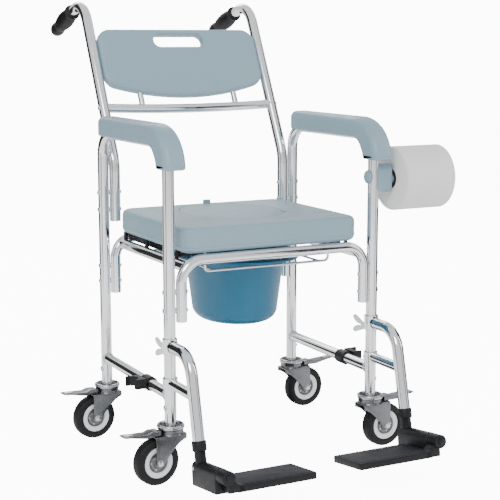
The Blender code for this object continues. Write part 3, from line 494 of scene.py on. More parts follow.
def backs():
    """The back tubes with their grips and bolts, the sagging crossbar, its posts and the panel."""
    for side, sign in SIDES.items():
        x = sign * BACK_X
        shown(f"back_bar_{side}", tube_mesh(back_path(x), BACK_R, lip=True), "chrome", "frame",
              f"back_tube_{side}")
        grip(side, sign)
        for index, z in enumerate(BACK_BOLTS):
            bolt(f"back_bolt_{side}_{index}", sign * (BACK_X - BACK_R + BOLT_SINK), REAR_Y, z, -sign,
                 SMALL_BOLT_R)
            spacer(f"back_spacer_{side}_{index}", sign, BACK_X + BACK_R, REAR_Y, z)
        end = back_point(x, CROSSBAR_ALONG)
        bolt(f"crossbar_bolt_{side}", end.x + sign * (BACK_R - BOLT_SINK), end.y, end.z, sign, 0.0055)
    path = []
    steps = 40
    for step in range(steps + 1):
        share = 2 * step / steps - 1
        path.append(back_point(share * BACK_X, CROSSBAR_ALONG - CROSSBAR_SAG * (1 - share * share)))
    shown("crossbar_tube", tube_mesh(path, CROSSBAR_R), "chrome", "frame", "back_crossbar")
    for side, sign in SIDES.items():
        x = sign * POST_X
        post = [back_point(x, CROSSBAR_ALONG - 0.002), back_point(x, POST_TOP)]
        shown(f"panel_post_{side}", tube_mesh(post, POST_R, 24), "chrome", "frame")
    panel()


def grip(side, sign):
    """A push grip: a flange, a ribbed belly and a rounded knob at the end."""
    start = back_point(sign * BACK_X, BACK_LENGTH)
    along = Vector((0, math.cos(HANDLE_DROP), -math.sin(HANDLE_DROP)))
    profile = [(0.0, 0.0), (BACK_R + 0.0003, 0.0), (0.0175, 0.0), (0.0187, 0.0008), (0.0190, 0.0025),
               (0.0187, 0.0042), (0.0175, 0.0050), (0.0156, 0.0062), (0.0152, 0.009)]
    ribs, rib_depth = 20, 0.0008
    ribs_start, ribs_length = 0.012, 0.082
    neck, swell = 0.0152, 0.0053
    for index in range(ribs * 2 + 1):
        share = index / (ribs * 2)
        belly = neck + swell * math.sin(math.pi * share) ** 0.8
        profile.append((belly - (rib_depth if index % 2 else 0.0), ribs_start + share * ribs_length))
    profile += [(0.0150, 0.0965), (0.0150, 0.0990), (0.0155, 0.1020), (0.0168, 0.1075), (0.0174, 0.1120),
                (0.0175, 0.1170), (0.0169, 0.1230), (0.0155, 0.1285), (0.0132, 0.1330), (0.0100, 0.1362),
                (0.0062, 0.1379), (0.0, 0.1384)]
    turn = Matrix.Rotation(-(math.pi / 2 + HANDLE_DROP), 4, "X")
    place = Matrix.Translation(start + along * GRIP_START) @ turn
    mesh = turned_mesh(profile, 48)
    mesh.transform(place)
    shown(f"grip_{side}", mesh, "grip", "frame", f"push_grip_{side}", sharp=60)


def panel():
    """The backrest: straight on top, sagging below, with a hand slot through it and soft edges."""
    left = PANEL_HALF - PANEL_CORNER
    outline = arc((left, PANEL_TOP - PANEL_CORNER), PANEL_CORNER, PANEL_CORNER, 0, 86, 14)
    for step in range(1, 12):
        share = 1 - 2 * step / 12
        outline.append((share * left, PANEL_TOP))
    outline += arc((-left, PANEL_TOP - PANEL_CORNER), PANEL_CORNER, PANEL_CORNER, 94, 180, 14)
    outline += arc((-left, PANEL_CORNER_BOTTOM + PANEL_CORNER), PANEL_CORNER, PANEL_CORNER, 180, 250, 12)
    sag = 28
    for step in range(1, sag):
        share = 2 * step / sag - 1
        drop = (PANEL_CORNER_BOTTOM - PANEL_BOTTOM) * (1 - share * share)
        outline.append((share * (left + 0.012), PANEL_CORNER_BOTTOM + 0.002 - drop))
    outline += arc((left, PANEL_CORNER_BOTTOM + PANEL_CORNER), PANEL_CORNER, PANEL_CORNER, 290, 360, 12)
    lean = at(0, REAR_Y, BACK_KINK_Z) @ Matrix.Rotation(-BACK_LEAN, 4, "X")
    mesh = slab_mesh(outline, PANEL_FRONT, PANEL_BACK, "XZ")
    half = (SLOT_HIGH - SLOT_LOW) / 2
    slot = rounded_rectangle((-SLOT_HALF, SLOT_LOW), (SLOT_HALF, SLOT_HIGH), half - 0.0004, 14)
    mesh = shaped(mesh, ("BEVEL", 0.0085, 7, 50),
                  ("DIFFERENCE", slab_mesh(slot, PANEL_FRONT - 0.01, PANEL_BACK + 0.01, "XZ")),
                  ("BEVEL", 0.0030, 4, 60))
    shown("panel_skin", mesh, "pad", "frame", "backrest_panel", lean, 50)


def arm_pads():
    """Rounded sections along the arm tube and down round its front bend."""
    stations = []
    centre_y, centre_z = ARM_BEND, ARM_Z - ARM_BEND
    ends = [(0.0, 0.62), (0.0012, 0.80), (0.0035, 0.92), (0.007, 0.98), (0.012, 1.0)]
    for inset, share in ends:
        stations.append((Vector((0, PAD_REAR - inset, PAD_SKIRT)), Vector((0, PAD_REAR - inset, PAD_TOP)),
                         share))
    for step in range(1, 8):
        y = PAD_REAR - 0.012 + (centre_y - PAD_REAR + 0.012) * step / 8
        stations.append((Vector((0, y, PAD_SKIRT)), Vector((0, y, PAD_TOP)), 1.0))
    bend_steps = 20
    for step in range(bend_steps + 1):
        turn = math.pi / 2 * step / bend_steps
        inner = (PAD_SKIRT - centre_z) + (centre_y - PAD_BACKSIDE - PAD_SKIRT + centre_z) * min(step / 12,
                                                                                                1.0)
        under = Vector((0, centre_y - inner * math.sin(turn), centre_z + inner * math.cos(turn)))
        over = Vector((0, centre_y - (centre_y - PAD_FRONT) * math.sin(turn),
                       PAD_LOW + (PAD_TOP - PAD_LOW) * math.cos(turn)))
        if step == bend_steps:
            under.z = over.z = PAD_LOW + 0.0080
        stations.append((under, over, 1.0))
    for drop, share in ((0.0045, 0.99), (0.0022, 0.965), (0.0008, 0.925), (0.0, 0.86)):
        stations.append((Vector((0, PAD_BACKSIDE, PAD_LOW + drop)), Vector((0, PAD_FRONT, PAD_LOW + drop)),
                         share))
    for side, sign in SIDES.items():
        shape = bmesh.new()
        rings = []
        for low, high, share in stations:
            up = (high - low).normalized()
            middle = (high + low) / 2
            half_w, half_h = PAD_HALF * share, (high - low).length / 2 * share
            wrapped = min(max((0.06 - middle.y) / 0.09, 0.0), 1.0)
            top, bottom = 0.0155 * share, (0.0045 + 0.0105 * wrapped) * share
            section = arc((half_w - top, half_h - top), top, top, 0, 90, 8)
            section += arc((-half_w + top, half_h - top), top, top, 90, 180, 8)
            section += arc((-half_w + bottom, -half_h + bottom), bottom, bottom, 180, 270, 6)
            section += arc((half_w - bottom, -half_h + bottom), bottom, bottom, 270, 360, 6)
            rings.append([shape.verts.new(middle + Vector((a, 0, 0)) + up * b) for a, b in section])
        joined(shape, rings)
        mesh = finished(shape)
        shown(f"arm_skin_{side}", mesh, "pad", "frame", f"arm_pad_{side}", at(sign * LEG_X, 0, 0), 55)


# ---------------- seat and bucket


def seat():
    """The moulded seat: an oval hole, a step that holds the lid, and a finger notch."""
    skin, past = 0.0006, 0.01
    outline = rounded_rectangle((-SEAT_HALF + skin, SEAT_FRONT + skin), (SEAT_HALF - skin, SEAT_REAR - skin),
                                SEAT_CORNER, 16)
    hole = arc((0, LID_Y), 0.098, 0.126, 0, 360, 96)[:-1]
    recess = arc((0, LID_Y), LID_HALF_X + 0.0009, LID_HALF_Y + 0.0009, 0, 360, 96)[:-1]
    notch_turn = math.radians(-29.0)
    notch_at = (LID_HALF_X * math.cos(notch_turn), LID_Y + LID_HALF_Y * math.sin(notch_turn))
    notch = arc(notch_at, 0.0090, 0.0090, 0, 360, 32)[:-1]
    slab = shaped(
        slab_mesh(outline, SEAT_LOW, SEAT_TOP), ("BEVEL", SEAT_EDGE, 8, 50),
        ("DIFFERENCE", slab_mesh(hole, SEAT_LOW - past, SEAT_TOP + past)),
        ("DIFFERENCE", slab_mesh(recess, SEAT_TOP - LID_THICK - 0.0003, SEAT_TOP + past)),
        ("DIFFERENCE", slab_mesh(notch, SEAT_TOP - LID_THICK, SEAT_TOP + past)),
        ("BEVEL", 0.0012, 3, 60))
    shown("seat_skin", slab, "pad", "frame", "seat", sharp=50)


def seat_ridge():
    """The raised moulding line round the seat's side, just above its lower edge."""
    deep = 0.0048
    band = rounded_rectangle((-SEAT_HALF, SEAT_FRONT), (SEAT_HALF, SEAT_REAR), SEAT_CORNER, 16)
    inside = rounded_rectangle((-SEAT_HALF + deep, SEAT_FRONT + deep), (SEAT_HALF - deep, SEAT_REAR - deep),
                               SEAT_CORNER - deep, 16)
    ridge = shaped(slab_mesh(band, SEAT_LOW + SEAT_EDGE, SEAT_LOW + SEAT_EDGE + 0.0025),
                   ("BEVEL", 0.0006, 2, 50), ("DIFFERENCE", slab_mesh(inside, SEAT_LOW, SEAT_TOP)))
    shown("seat_ridge", ridge, "pad", "frame", sharp=50)


def lid_and_tab():
    """The loose oval lid, and the small tab behind it on the seat's rear edge."""
    lid = slab_mesh(arc((0, 0), LID_HALF_X, LID_HALF_Y, 0, 360, 96)[:-1], -LID_THICK, 0)
    shown("lid_skin", shaped(lid, ("BEVEL", 0.0022, 4, 50)), "pad", "lid", "seat_lid", at(0, LID_Y, SEAT_TOP),
          50)
    tab = slab_mesh(rounded_rectangle((-0.0095, -0.004), (0.0095, 0.004), 0.0035, 6), 0.0, 0.0105)
    shown("rear_tab", shaped(tab, ("BEVEL", 0.0018, 4, 50)), "pad", "frame",
          matrix=at(0.010, SEAT_REAR - 0.012, SEAT_TOP - 0.002))


def bucket():
    """An oval bucket: turned round and then stretched, with a lip that rests on the rack."""
    rim, low = BUCKET_RIM_Z - RACK_Z, BUCKET_BOTTOM - RACK_Z
    lip, wall = RACK_R + 0.0006, BUCKET_WALL
    edge, top = BUCKET_LIP_R, BUCKET_TOP_R
    outer = [(edge - 0.0015, rim), (edge - 0.0004, rim - 0.0006), (edge, rim - 0.002), (edge, lip + 0.001),
             (edge - 0.0005, lip), (top + 0.003, lip), (top + 0.0008, lip - 0.0008), (top, lip - 0.003)]
    wide, tall = BUCKET_CORNER
    turn = (BUCKET_LOW_R - wide, low + tall)
    outer += arc(turn, wide, tall, -6, -90, 16) + [(0.0, low)]
    inner = [(0.0, low + wall)] + arc(turn, wide - wall, tall - wall, -90, -6, 14)
    inner += [(top - wall, lip), (top - 0.0015, rim - 0.0015), (top + 0.0005, rim)]
    mesh = turned_mesh(inner + outer, 96)
    mesh.transform(Matrix.Diagonal((1, BUCKET_STRETCH, 1, 1)))
    shown("bucket_skin", mesh, "bucket", "bucket", "bucket", at(0, BUCKET_Y, RACK_Z), 45)


def rack():
    """The wire rack under the bucket's lip: a front wire and two rails, all turned up to the seat."""
    top, bend = SEAT_LOW - 0.001, 0.009
    front = [(-RACK_END_X, RACK_FRONT_Y, top), (-RACK_END_X, RACK_FRONT_Y, RACK_Z),
             (RACK_END_X, RACK_FRONT_Y, RACK_Z), (RACK_END_X, RACK_FRONT_Y, top)]
    shown("rack_front", tube_mesh(rounded(front, bend, 8), RACK_R, 20), "wire", "frame", "bucket_rack")
    for side, sign in SIDES.items():
        end = RACK_END_X + 0.002
        rail = [(sign * RACK_RAIL_X, RACK_FRONT_Y, RACK_Z), (sign * RACK_RAIL_X, RACK_REAR_Y, RACK_Z),
                (sign * end, RACK_REAR_Y, RACK_Z), (sign * end, RACK_REAR_Y, top)]
        mesh = tube_mesh(rounded(rail, bend, 8), RACK_R - 0.0004, 20)
        shown(f"rack_rail_{side}", mesh, "wire", "frame")


# ---------------- toilet roll


def roll():
    """The clamp on the leg, its knob, the spindle with a near-black ring as painted shade of the gap inside
    the core, and the paper on its card core.
    """
    outline = [(-0.017, ROLL_Z - 0.020), (-0.010, ROLL_Z - 0.028), (0.010, ROLL_Z - 0.028),
               (0.017, ROLL_Z - 0.020),
               (0.017, ROLL_Z + 0.022), (0.010, ROLL_Z + 0.034), (-0.010, ROLL_Z + 0.034),
               (-0.017, ROLL_Z + 0.022)]
    block = slab_mesh(outline, LEG_X + 0.004, ROLL_NEAR_X - 0.006, "YZ")
    leg = tube_mesh([(LEG_X, 0, ROLL_Z - 0.06), (LEG_X, 0, ROLL_Z + 0.06)], TUBE_R + 0.0002, 32)
    block = shaped(block, ("BEVEL", 0.003, 4, 30), ("DIFFERENCE", leg))
    shown("clamp_skin", block, "pad", "frame", "roll_clamp", sharp=30)
    spindle = [(0.0, 0.0), (0.012, 0.0), (0.012, 0.006), (0.0175, 0.0072), (0.0185, 0.009),
               (0.0185, ROLL_LENGTH - 0.003),
               (0.0175, ROLL_LENGTH - 0.001), (0.0165, ROLL_LENGTH), (0.0, ROLL_LENGTH)]
    shown("spindle_skin", turned_mesh(spindle, 48, "X"), "pad", "frame", "roll_spindle",
          at(ROLL_NEAR_X - 0.0057, 0, ROLL_Z))
    # A near-black ring between spindle and core at the roll's near end: painted shade of the gap inside the
    # core.
    gap_shade_ring = [(0.0122, 0.0004), (0.0122, 0.0012), (0.0212, 0.0012), (0.0212, 0.0004)]
    shown("core_gap_shade", turned_mesh(gap_shade_ring, 48, "X"), "hollow", "frame",
          matrix=at(ROLL_NEAR_X, 0, ROLL_Z))
    soft, sag, core_r = 0.0035, 0.0002, ROLL_CORE_R + 0.0009
    paper = [(core_r, 0.0006), (core_r, ROLL_LENGTH - 0.0006), (ROLL_R - soft * 4, ROLL_LENGTH)]
    paper += arc((ROLL_R - soft, ROLL_LENGTH - soft), soft, soft, 80, 0, 5)
    paper += [(ROLL_R - sag, ROLL_LENGTH * 0.7), (ROLL_R, ROLL_LENGTH * 0.5),
              (ROLL_R - sag, ROLL_LENGTH * 0.3)]
    paper += arc((ROLL_R - soft, soft), soft, soft, 0, -80, 5) + [(ROLL_R - soft * 4, 0.0)]
    mesh = turned_mesh(paper, 96, "X")
    shown("roll_skin", mesh, "paper", "roll", "toilet_roll", at(ROLL_NEAR_X, 0, ROLL_Z), 50)
    core = [(ROLL_CORE_R, 0.0003), (ROLL_CORE_R, ROLL_LENGTH - 0.0003), (core_r, ROLL_LENGTH - 0.0003),
            (core_r, 0.0003)]
    shown("roll_core", turned_mesh(core, 64, "X"), "core", "roll", matrix=at(ROLL_NEAR_X, 0, ROLL_Z))
    dome = [(0.0, -0.0084), (0.004, -0.0082), (0.008, -0.0074), (0.0118, -0.0056), (0.0142, -0.0038),
            (0.0152, -0.0020), (0.0150, -0.0006), (0.0145, -0.0003), (0.0, -0.0003)]
    shown("clamp_knob_skin", turned_mesh(dome, 48, "X"), "pad", "knob", "roll_clamp_knob",
          at(LEG_X - TUBE_R, 0, ROLL_Z + 0.006))


# ---------------- footrests


def footrest(side, sign):
    """The hanger with its strut and sleeves, the foot bracket, the wing knob and the plate."""
    body = f"hanger_{side}"
    place = at(sign * LEG_X, 0, 0)
    drop = Vector((0, -math.sin(HANGER_LEAN), -math.cos(HANGER_LEAN)))
    corner = Vector((0, HANGER_CORNER_Y, HANGER_TOP))
    low = corner + drop * ((HANGER_TOP - HANGER_LOW) / math.cos(HANGER_LEAN))
    path = rounded([(0, -SLEEVE_R + 0.003, HANGER_TOP), corner, low], HANGER_BEND, 20)
    shown(f"hanger_skin_{side}", tube_mesh(path, TUBE_R), "chrome", body, f"hanger_tube_{side}", place)
    reach = (corner + drop * ((HANGER_TOP - STRUT_Z) / math.cos(HANGER_LEAN))).y
    strut = [(0, -SLEEVE_R + 0.003, STRUT_Z), (0, reach, STRUT_Z)]
    shown(f"strut_skin_{side}", tube_mesh(strut, STRUT_R), "chrome", body, (), place)
    for name, (bottom, top) in SLEEVES.items():
        ring = [(0.0133, bottom), (0.0133, top), (SLEEVE_R - 0.0008, top), (SLEEVE_R, top - 0.0008),
                (SLEEVE_R, bottom + 0.0008), (SLEEVE_R - 0.0008, bottom)]
        shown(f"{name}_sleeve_{side}", turned_mesh(ring, 48), "chrome", body, (), place)
    # A thin black ring near the hanger's top end: painted shade of the gap where the tube end meets its
    # sleeve.
    end_shade_ring = [(0.0110, 0.0), (0.0135, 0.0), (0.0135, 0.002), (0.0110, 0.002)]
    shown(f"hanger_end_shade_{side}", turned_mesh(end_shade_ring, 40, "Y"), "black", body, (),
          place @ at(0, -SLEEVE_R - 0.0040, HANGER_TOP))
    nut = [(0.0, 0.0), (0.0068, 0.0), (0.0068, 0.007), (0.0050, 0.0095), (0.0, 0.0100)]
    shown(f"white_nut_{side}", turned_mesh(nut, 6, "Y"), "clear", body, (),
          place @ at(0, SLEEVE_R - 0.0005, 0.2100), 30)
    wing(side, place)
    foot = place @ at(0, FOOT_Y, FOOT_Z) @ Matrix.Rotation(FOOT_TILT, 4, "X")
    outline = [(-BARREL_R, BLOCK_LOW), (BARREL_R, BLOCK_LOW)] + arc((0, 0), BARREL_R, BARREL_R, 0, 180, 24)
    block = shaped(slab_mesh(outline, BLOCK_FRONT, BLOCK_REAR, "XZ"), ("BEVEL", 0.0022, 4, 60))
    shown(f"foot_block_{side}", block, "black", body, f"foot_bracket_{side}", foot, 45)
    groove = [(BARREL_R - 0.0010, 0.0), (BARREL_R + 0.00025, 0.0004), (BARREL_R + 0.00025, 0.0046),
              (BARREL_R - 0.0010, 0.0050)]
    for index, y in enumerate((-0.0430, 0.0210)):
        shown(f"barrel_band_{side}_{index}", turned_mesh(groove, 48, "Y"), "black", body, (),
              foot @ at(0, y, 0))
    turn = Vector((0, 0, 1)).rotation_difference(-drop).to_matrix().to_4x4()
    neck = [(0.0, -0.050), (0.0122, -0.050), (0.0119, -0.030), (0.0119, -0.0135), (0.0128, -0.0118),
            (0.0143, -0.0112),
            (0.0150, -0.0104), (0.0150, 0.0078), (0.0146, 0.0088), (0.0138, 0.0090), (0.0129, 0.0088),
            (0.0129, -0.0003), (0.0, -0.0003)]
    shown(f"foot_neck_{side}", turned_mesh(neck, 48), "black", body, (),
          place @ Matrix.Translation(low) @ turn)
    bolt(f"foot_screw_{side}", sign * (LEG_X + BARREL_R - 0.0004), -0.142, 0.073, sign, 0.0042, body, 0.0022)
    plate(side, sign, foot)


def wing(side, place):
    """A clear wing knob: two flat ears on a round hub."""
    outline = [(0.001, -0.0060), (0.001, 0.0060), (0.014, 0.0075), (0.044, 0.0190), (0.050, 0.0205),
               (0.056, 0.0195),
               (0.0585, 0.0165), (0.0575, 0.0130), (0.050, 0.0060), (0.038, 0.0020), (0.024, 0.0010)]
    mesh = shaped(slab_mesh(mirrored(outline, 2), -0.0022, 0.0022, "YZ"),
                  ("BEVEL", 0.0011, 3, 40))
    spot = place @ at(0, SLEEVE_R + 0.0003, WING_Z)
    shown(f"wing_skin_{side}", mesh, "clear", f"wing_{side}", f"wing_knob_{side}", spot, 40)
    hub = [(0.0, 0.0), (0.0060, 0.0), (0.0068, 0.0010), (0.0068, 0.0165), (0.0060, 0.0178), (0.0, 0.0180)]
    shown(f"wing_hub_{side}", turned_mesh(hub, 32, "Y"), "clear", f"wing_{side}", (), spot)


def plate(side, sign, foot):
    """The footplate with its ribbed mat, the web and knuckle that hinge it, and the hinge pin."""
    body = f"plate_{side}"
    inner, outer = sorted((-sign * PLATE_INNER, -sign * PLATE_OUTER))
    front = KNUCKLE_FRONT + 0.004
    outline = rounded_rectangle((inner, front), (outer, PLATE_REAR), 0.006, 8)
    mesh = slab_mesh(outline, PLATE_TOP - PLATE_THICK, PLATE_TOP - 0.0008)
    mesh = shaped(mesh, ("BEVEL", 0.0020, 4, 50))
    shown(f"plate_skin_{side}", mesh, "black", body, f"footplate_{side}", foot, 45)
    tread = rounded_rectangle((inner + 0.006, front + 0.006), (outer - 0.006, PLATE_REAR - 0.006), 0.004, 6)
    mat_mesh = shaped(slab_mesh(tread, PLATE_TOP - 0.0040, PLATE_TOP), ("BEVEL", 0.0007, 3, 50))
    shown(f"plate_mat_{side}", mat_mesh, "plate", body, (), foot, 45)
    back = BLOCK_FRONT - 0.0005
    under = PLATE_TOP - PLATE_THICK + 0.001
    wedge = [(0.0, under), (0.0, -0.0080), (-0.0120, -0.0060), (-0.0240, -0.0160),
             (-0.0340, PLATE_TOP - 0.0005), (-0.0340, under)]
    web = slab_mesh([(sign * a, b) for a, b in wedge], front, back, "XZ")
    shown(f"plate_web_{side}", shaped(web, ("BEVEL", 0.0015, 3, 30)), "black", body, (), foot, 45)
    length = back - KNUCKLE_FRONT
    radius = BARREL_R - 0.0002
    knuckle = [(0.0036, 0.0), (radius - 0.0020, 0.0), (radius - 0.0006, 0.0006), (radius, 0.0022),
               (radius, length - 0.001), (radius - 0.001, length), (0.0036, length)]
    shown(f"plate_knuckle_{side}", turned_mesh(knuckle, 48, "Y"), "black", body, (),
          foot @ at(0, KNUCKLE_FRONT, 0))
    head = [(0.0, -0.0032), (0.0046, -0.0030), (0.0060, -0.0022), (0.0065, -0.0010), (0.0065, 0.0),
            (0.0035, 0.0), (0.0035, 0.1090), (0.0, 0.1090)]
    shown(f"plate_pin_{side}", turned_mesh(head, 32, "Y"), "black", f"hanger_{side}", f"footplate_pin_{side}",
          foot @ at(0, KNUCKLE_FRONT - 0.0003, 0))


def clips():
    """A jaw and band on each lower rail, where the swung-back hanger is held."""
    reach = -HANGER_CORNER_Y + (HANGER_TOP - (CLIP_LOW + CLIP_HIGH) / 2) * math.tan(HANGER_LEAN)
    held_x, held_y = math.sin(CLIP_TURN) * reach, -math.cos(CLIP_TURN) * reach
    rail = 0.0140
    jaw = [(rail, held_y - 0.0215), (held_x - 0.008, held_y - 0.0215), (held_x - 0.004, held_y - 0.0180)]
    jaw += arc((held_x, held_y), JAW_R, JAW_R, 262, 90, 28)
    jaw += [(held_x + 0.004, held_y + JAW_R), (held_x + 0.004, held_y + JAW_REACH),
            (rail, held_y + JAW_REACH)]
    band = [(0.0121, 0.0), (0.0150, 0.0), (0.0160, 0.001), (0.0160, BAND_LENGTH - 0.001),
            (0.0150, BAND_LENGTH), (0.0121, BAND_LENGTH)]
    for side, sign in SIDES.items():
        outline = [(sign * (LEG_X + a), b) for a, b in jaw]
        mesh = shaped(slab_mesh(outline, CLIP_LOW, CLIP_HIGH), ("BEVEL", 0.0010, 3, 50))
        shown(f"clip_skin_{side}", mesh, "black", "frame", f"rail_clip_{side}", sharp=40)
        shown(f"clip_band_{side}", turned_mesh(band, 40, "Y"), "black", "frame",
              matrix=at(sign * LEG_X, held_y - BAND_LENGTH / 2, RAIL_Z))


# ---------------- casters


def race(name, x, y):
    """The swivel's bearing cup under the leg, with a dark seal in its top groove."""
    top = LEG_BOTTOM - 0.0003
    cup = [(0.0, RACE_LOW), (RACE_R - 0.0012, RACE_LOW), (RACE_R - 0.0002, RACE_LOW + 0.0005),
           (RACE_R, RACE_LOW + 0.0012),
            (RACE_R, top - 0.0040), (RACE_R - 0.0006, top - 0.0022), (RACE_R - 0.0018, top - 0.0012),
            (RACE_R - 0.0042, top - 0.0010), (RACE_R - 0.0054, top - 0.0020), (RACE_R - 0.0060, top - 0.0048),
            (TUBE_R + 0.0012, top - 0.0050), (TUBE_R + 0.0008, top - 0.003), (TUBE_R, top), (0.0, top)]
    shown(f"race_skin_{name}", turned_mesh(cup, 64), "race", "frame", f"caster_race_{name}", at(x, y, 0))
    seal = [(TUBE_R + 0.0014, top - 0.0050), (TUBE_R + 0.0014, top - 0.0024), (TUBE_R + 0.0040, top - 0.0018),
            (RACE_R - 0.0070, top - 0.0030), (RACE_R - 0.0066, top - 0.0050)]
    shown(f"race_seal_{name}", turned_mesh(seal, 48), "black", "frame", (), at(x, y, 0))


def wheel_and_axle(name, wheel, body):
    """Tyre, white ring, dished centre with dots on each face, and the axle bolt."""
    half = WHEEL_WIDTH / 2

    def stepped(profile):
        return [(radius, half - depth) for radius, depth in profile]

    tread = [(TYRE_BORE, -half + 0.003)]
    tread += stepped([(TYRE_BORE, 0.003), (0.0350, 0.0010), (0.0370, 0.0002), (0.0395, 0.0), (0.0430, 0.0004),
                      (0.0455, 0.0012), (0.0476, 0.0022), (0.0492, 0.0036), (0.0501, 0.0054), (WHEEL_R,
                                                                                               0.0080)])
    shown(f"tyre_skin_{name}", turned_mesh(mirrored(tread, 2), 96, "Y"), "rubber",
          f"wheel_{name}", f"tyre_{name}", wheel)
    ring = stepped([(0.0222, 0.0065), (0.0228, 0.0034), (0.0260, 0.0024), (0.0300, 0.0020),
                    (0.0334, 0.0022), (0.0342, 0.0034)])
    shown(f"ring_skin_{name}", turned_mesh(mirrored(ring), 72, "Y"), "ring", f"wheel_{name}", (), wheel)
    disc = stepped([(0.0046, 0.001), (0.0100, 0.001), (0.0114, 0.0018), (0.0122, 0.0050),
                    (0.0140, 0.0064), (0.0185, 0.0064), (0.0205, 0.0044), (0.0220, 0.0040)])
    shown(f"disc_skin_{name}", turned_mesh(mirrored(disc), 60, "Y"), "hub", f"wheel_{name}",
          f"wheel_hub_{name}", wheel)
    for index in range(HUB_DOTS):
        turn = Matrix.Rotation(2 * math.pi * index / HUB_DOTS, 4, "Y")
        for face, sign in (("inner", -1), ("outer", 1)):
            dot = turned_mesh([(0.0, 0.0012), (0.0017, 0.0009), (0.0022, 0.0), (0.0, 0.0)], 16, "Y")
            outwards = Matrix.Rotation(0 if sign > 0 else math.pi, 4, "X")
            shown(f"hub_dot_{name}_{index}_{face}", dot, "steel", f"wheel_{name}", (),
                  wheel @ turn @ at(HUB_DOT_AT, sign * (half - 0.0065), 0) @ outwards)
    reach = FORK_GAP + FORK_PLATE
    axle = [(0.0, reach + 0.0042), (0.0040, reach + 0.0041), (0.0058, reach + 0.0033),
            (0.0064, reach + 0.0018),
                 (0.0064, reach + 0.0007), (0.0071, reach + 0.0006), (0.0071, reach + 0.0003),
            (0.0040, reach + 0.0002)]
    shown(f"axle_skin_{name}", turned_mesh(mirrored(axle), 32, "Y"), "steel", body, f"axle_bolt_{name}",
          wheel)


def caster(place, side, x, y):
    name = f"{place}_{side}"
    body = f"swivel_{name}"
    swivel = at(x, y, 0) @ Matrix.Rotation(HEADINGS[side], 4, "Z")
    race(name, x, y)
    fork(name, swivel, body)
    wheel_and_axle(name, swivel @ at(TRAIL, 0, WHEEL_R), body)
    pedal(name, swivel)


def fork(name, swivel, body):
    """Pressed sheet: two cheeks under a flat crown, with the swivel's round housing on top."""
    heel, toe = FORK_ENDS
    cheek = [(heel, FORK_TOP - 0.012), (heel, FORK_TOP - 0.0008), (toe, FORK_TOP - 0.0008)]
    cheek += [(toe, WHEEL_R + 0.030), (toe, WHEEL_R)]
    cheek += arc((TRAIL, WHEEL_R), 0.0105, 0.0105, -5, -150, 14)
    cheek += [(0.0170, WHEEL_R + 0.010), (0.0020, WHEEL_R + 0.0255), (-0.0110, WHEEL_R + 0.0370),
              (-0.0220, WHEEL_R + 0.0430)]
    for index, low in enumerate((-FORK_GAP - FORK_PLATE, FORK_GAP)):
        mesh = shaped(slab_mesh(cheek, low, low + FORK_PLATE, "XZ"), ("BEVEL", 0.0007, 3, 40))
        shown(f"cheek_{name}_{index}", mesh, "zinc", body, (), swivel, 40)
    crown = rounded_rectangle((heel, -FORK_GAP - FORK_PLATE), (toe, FORK_GAP + FORK_PLATE), 0.004, 6)
    mesh = shaped(slab_mesh(crown, FORK_TOP - 0.0035, FORK_TOP), ("BEVEL", 0.0012, 4, 50))
    shown(f"crown_{name}", mesh, "zinc", body, f"caster_fork_{name}", swivel, 40)
    dome = [(0.0, FORK_TOP - 0.0010), (HOUSING_R + 0.0006, FORK_TOP - 0.0010),
            (HOUSING_R - 0.0002, FORK_TOP + 0.0012),
            (HOUSING_R - 0.0012, FORK_TOP + 0.0030), (HOUSING_R - 0.0006, HOUSING_TOP - 0.0042),
            (HOUSING_R, HOUSING_TOP - 0.0030), (HOUSING_R, HOUSING_TOP - 0.0010),
            (HOUSING_R - 0.0010, HOUSING_TOP), (0.0, HOUSING_TOP)]
    shown(f"housing_{name}", turned_mesh(dome, 64), "zinc", body, (), swivel, 40)


def pedal(name, swivel):
    """The brake pedal: a bent side profile cut to a rounded plan, with a raised pad at its tip."""
    tilt = swivel @ at(PEDAL_X, 0, PEDAL_Z)
    low = FORK_TOP + 0.0008 - PEDAL_Z
    tip = PEDAL_REACH - PEDAL_X
    heel = RACE_R + 0.0015 - PEDAL_X
    outline = [(heel, low), (0.020, low), (tip - 0.014, 0.0040), (tip, 0.0050), (tip, 0.0072),
               (tip - 0.014, 0.0066), (0.014, 0.0040), (0.002, 0.0080), (heel, 0.0068)]
    mesh = slab_mesh(outline, -PEDAL_HALF, PEDAL_HALF, "XZ")
    plan = [(heel - 0.001, -0.0140), (tip - 0.024, -0.0140), (tip - 0.008, -PEDAL_HALF),
            (tip - 0.002, -0.0135),
            (tip, -0.0090), (tip, 0.0090), (tip - 0.002, 0.0135), (tip - 0.008, PEDAL_HALF),
            (tip - 0.024, 0.0140), (heel - 0.001, 0.0140)]
    mesh = shaped(mesh, ("INTERSECT", slab_mesh(plan, -0.02, 0.02)), ("BEVEL", 0.0009, 3, 35))
    shown(f"pedal_skin_{name}", mesh, "zinc", f"pedal_{name}", f"brake_pedal_{name}", tilt, 35)
    lever = rounded_rectangle((tip - 0.026, -0.0065), (tip - 0.004, 0.0065), 0.003, 5)
    shown(f"pedal_pad_{name}", shaped(slab_mesh(lever, 0.0050, 0.0085),
                                      ("BEVEL", 0.0010, 3, 40)), "steel",
          f"pedal_{name}", (), tilt, 35)


# ---------------- room, light and camera


def stage_mesh(name, mesh, look):
    mesh.materials.append(look)
    made = linked(name, mesh)
    return made


def area(name, place, target, size, power):
    data = bpy.data.lights.new(name, "AREA")
    data.shape, data.size, data.size_y = "RECTANGLE", *size
    data.energy = power
    made = linked(name, data)
    made.location = place
    made.rotation_mode = "QUATERNION"
    made.rotation_quaternion = (Vector(target) - Vector(place)).to_track_quat("-Z", "Y")


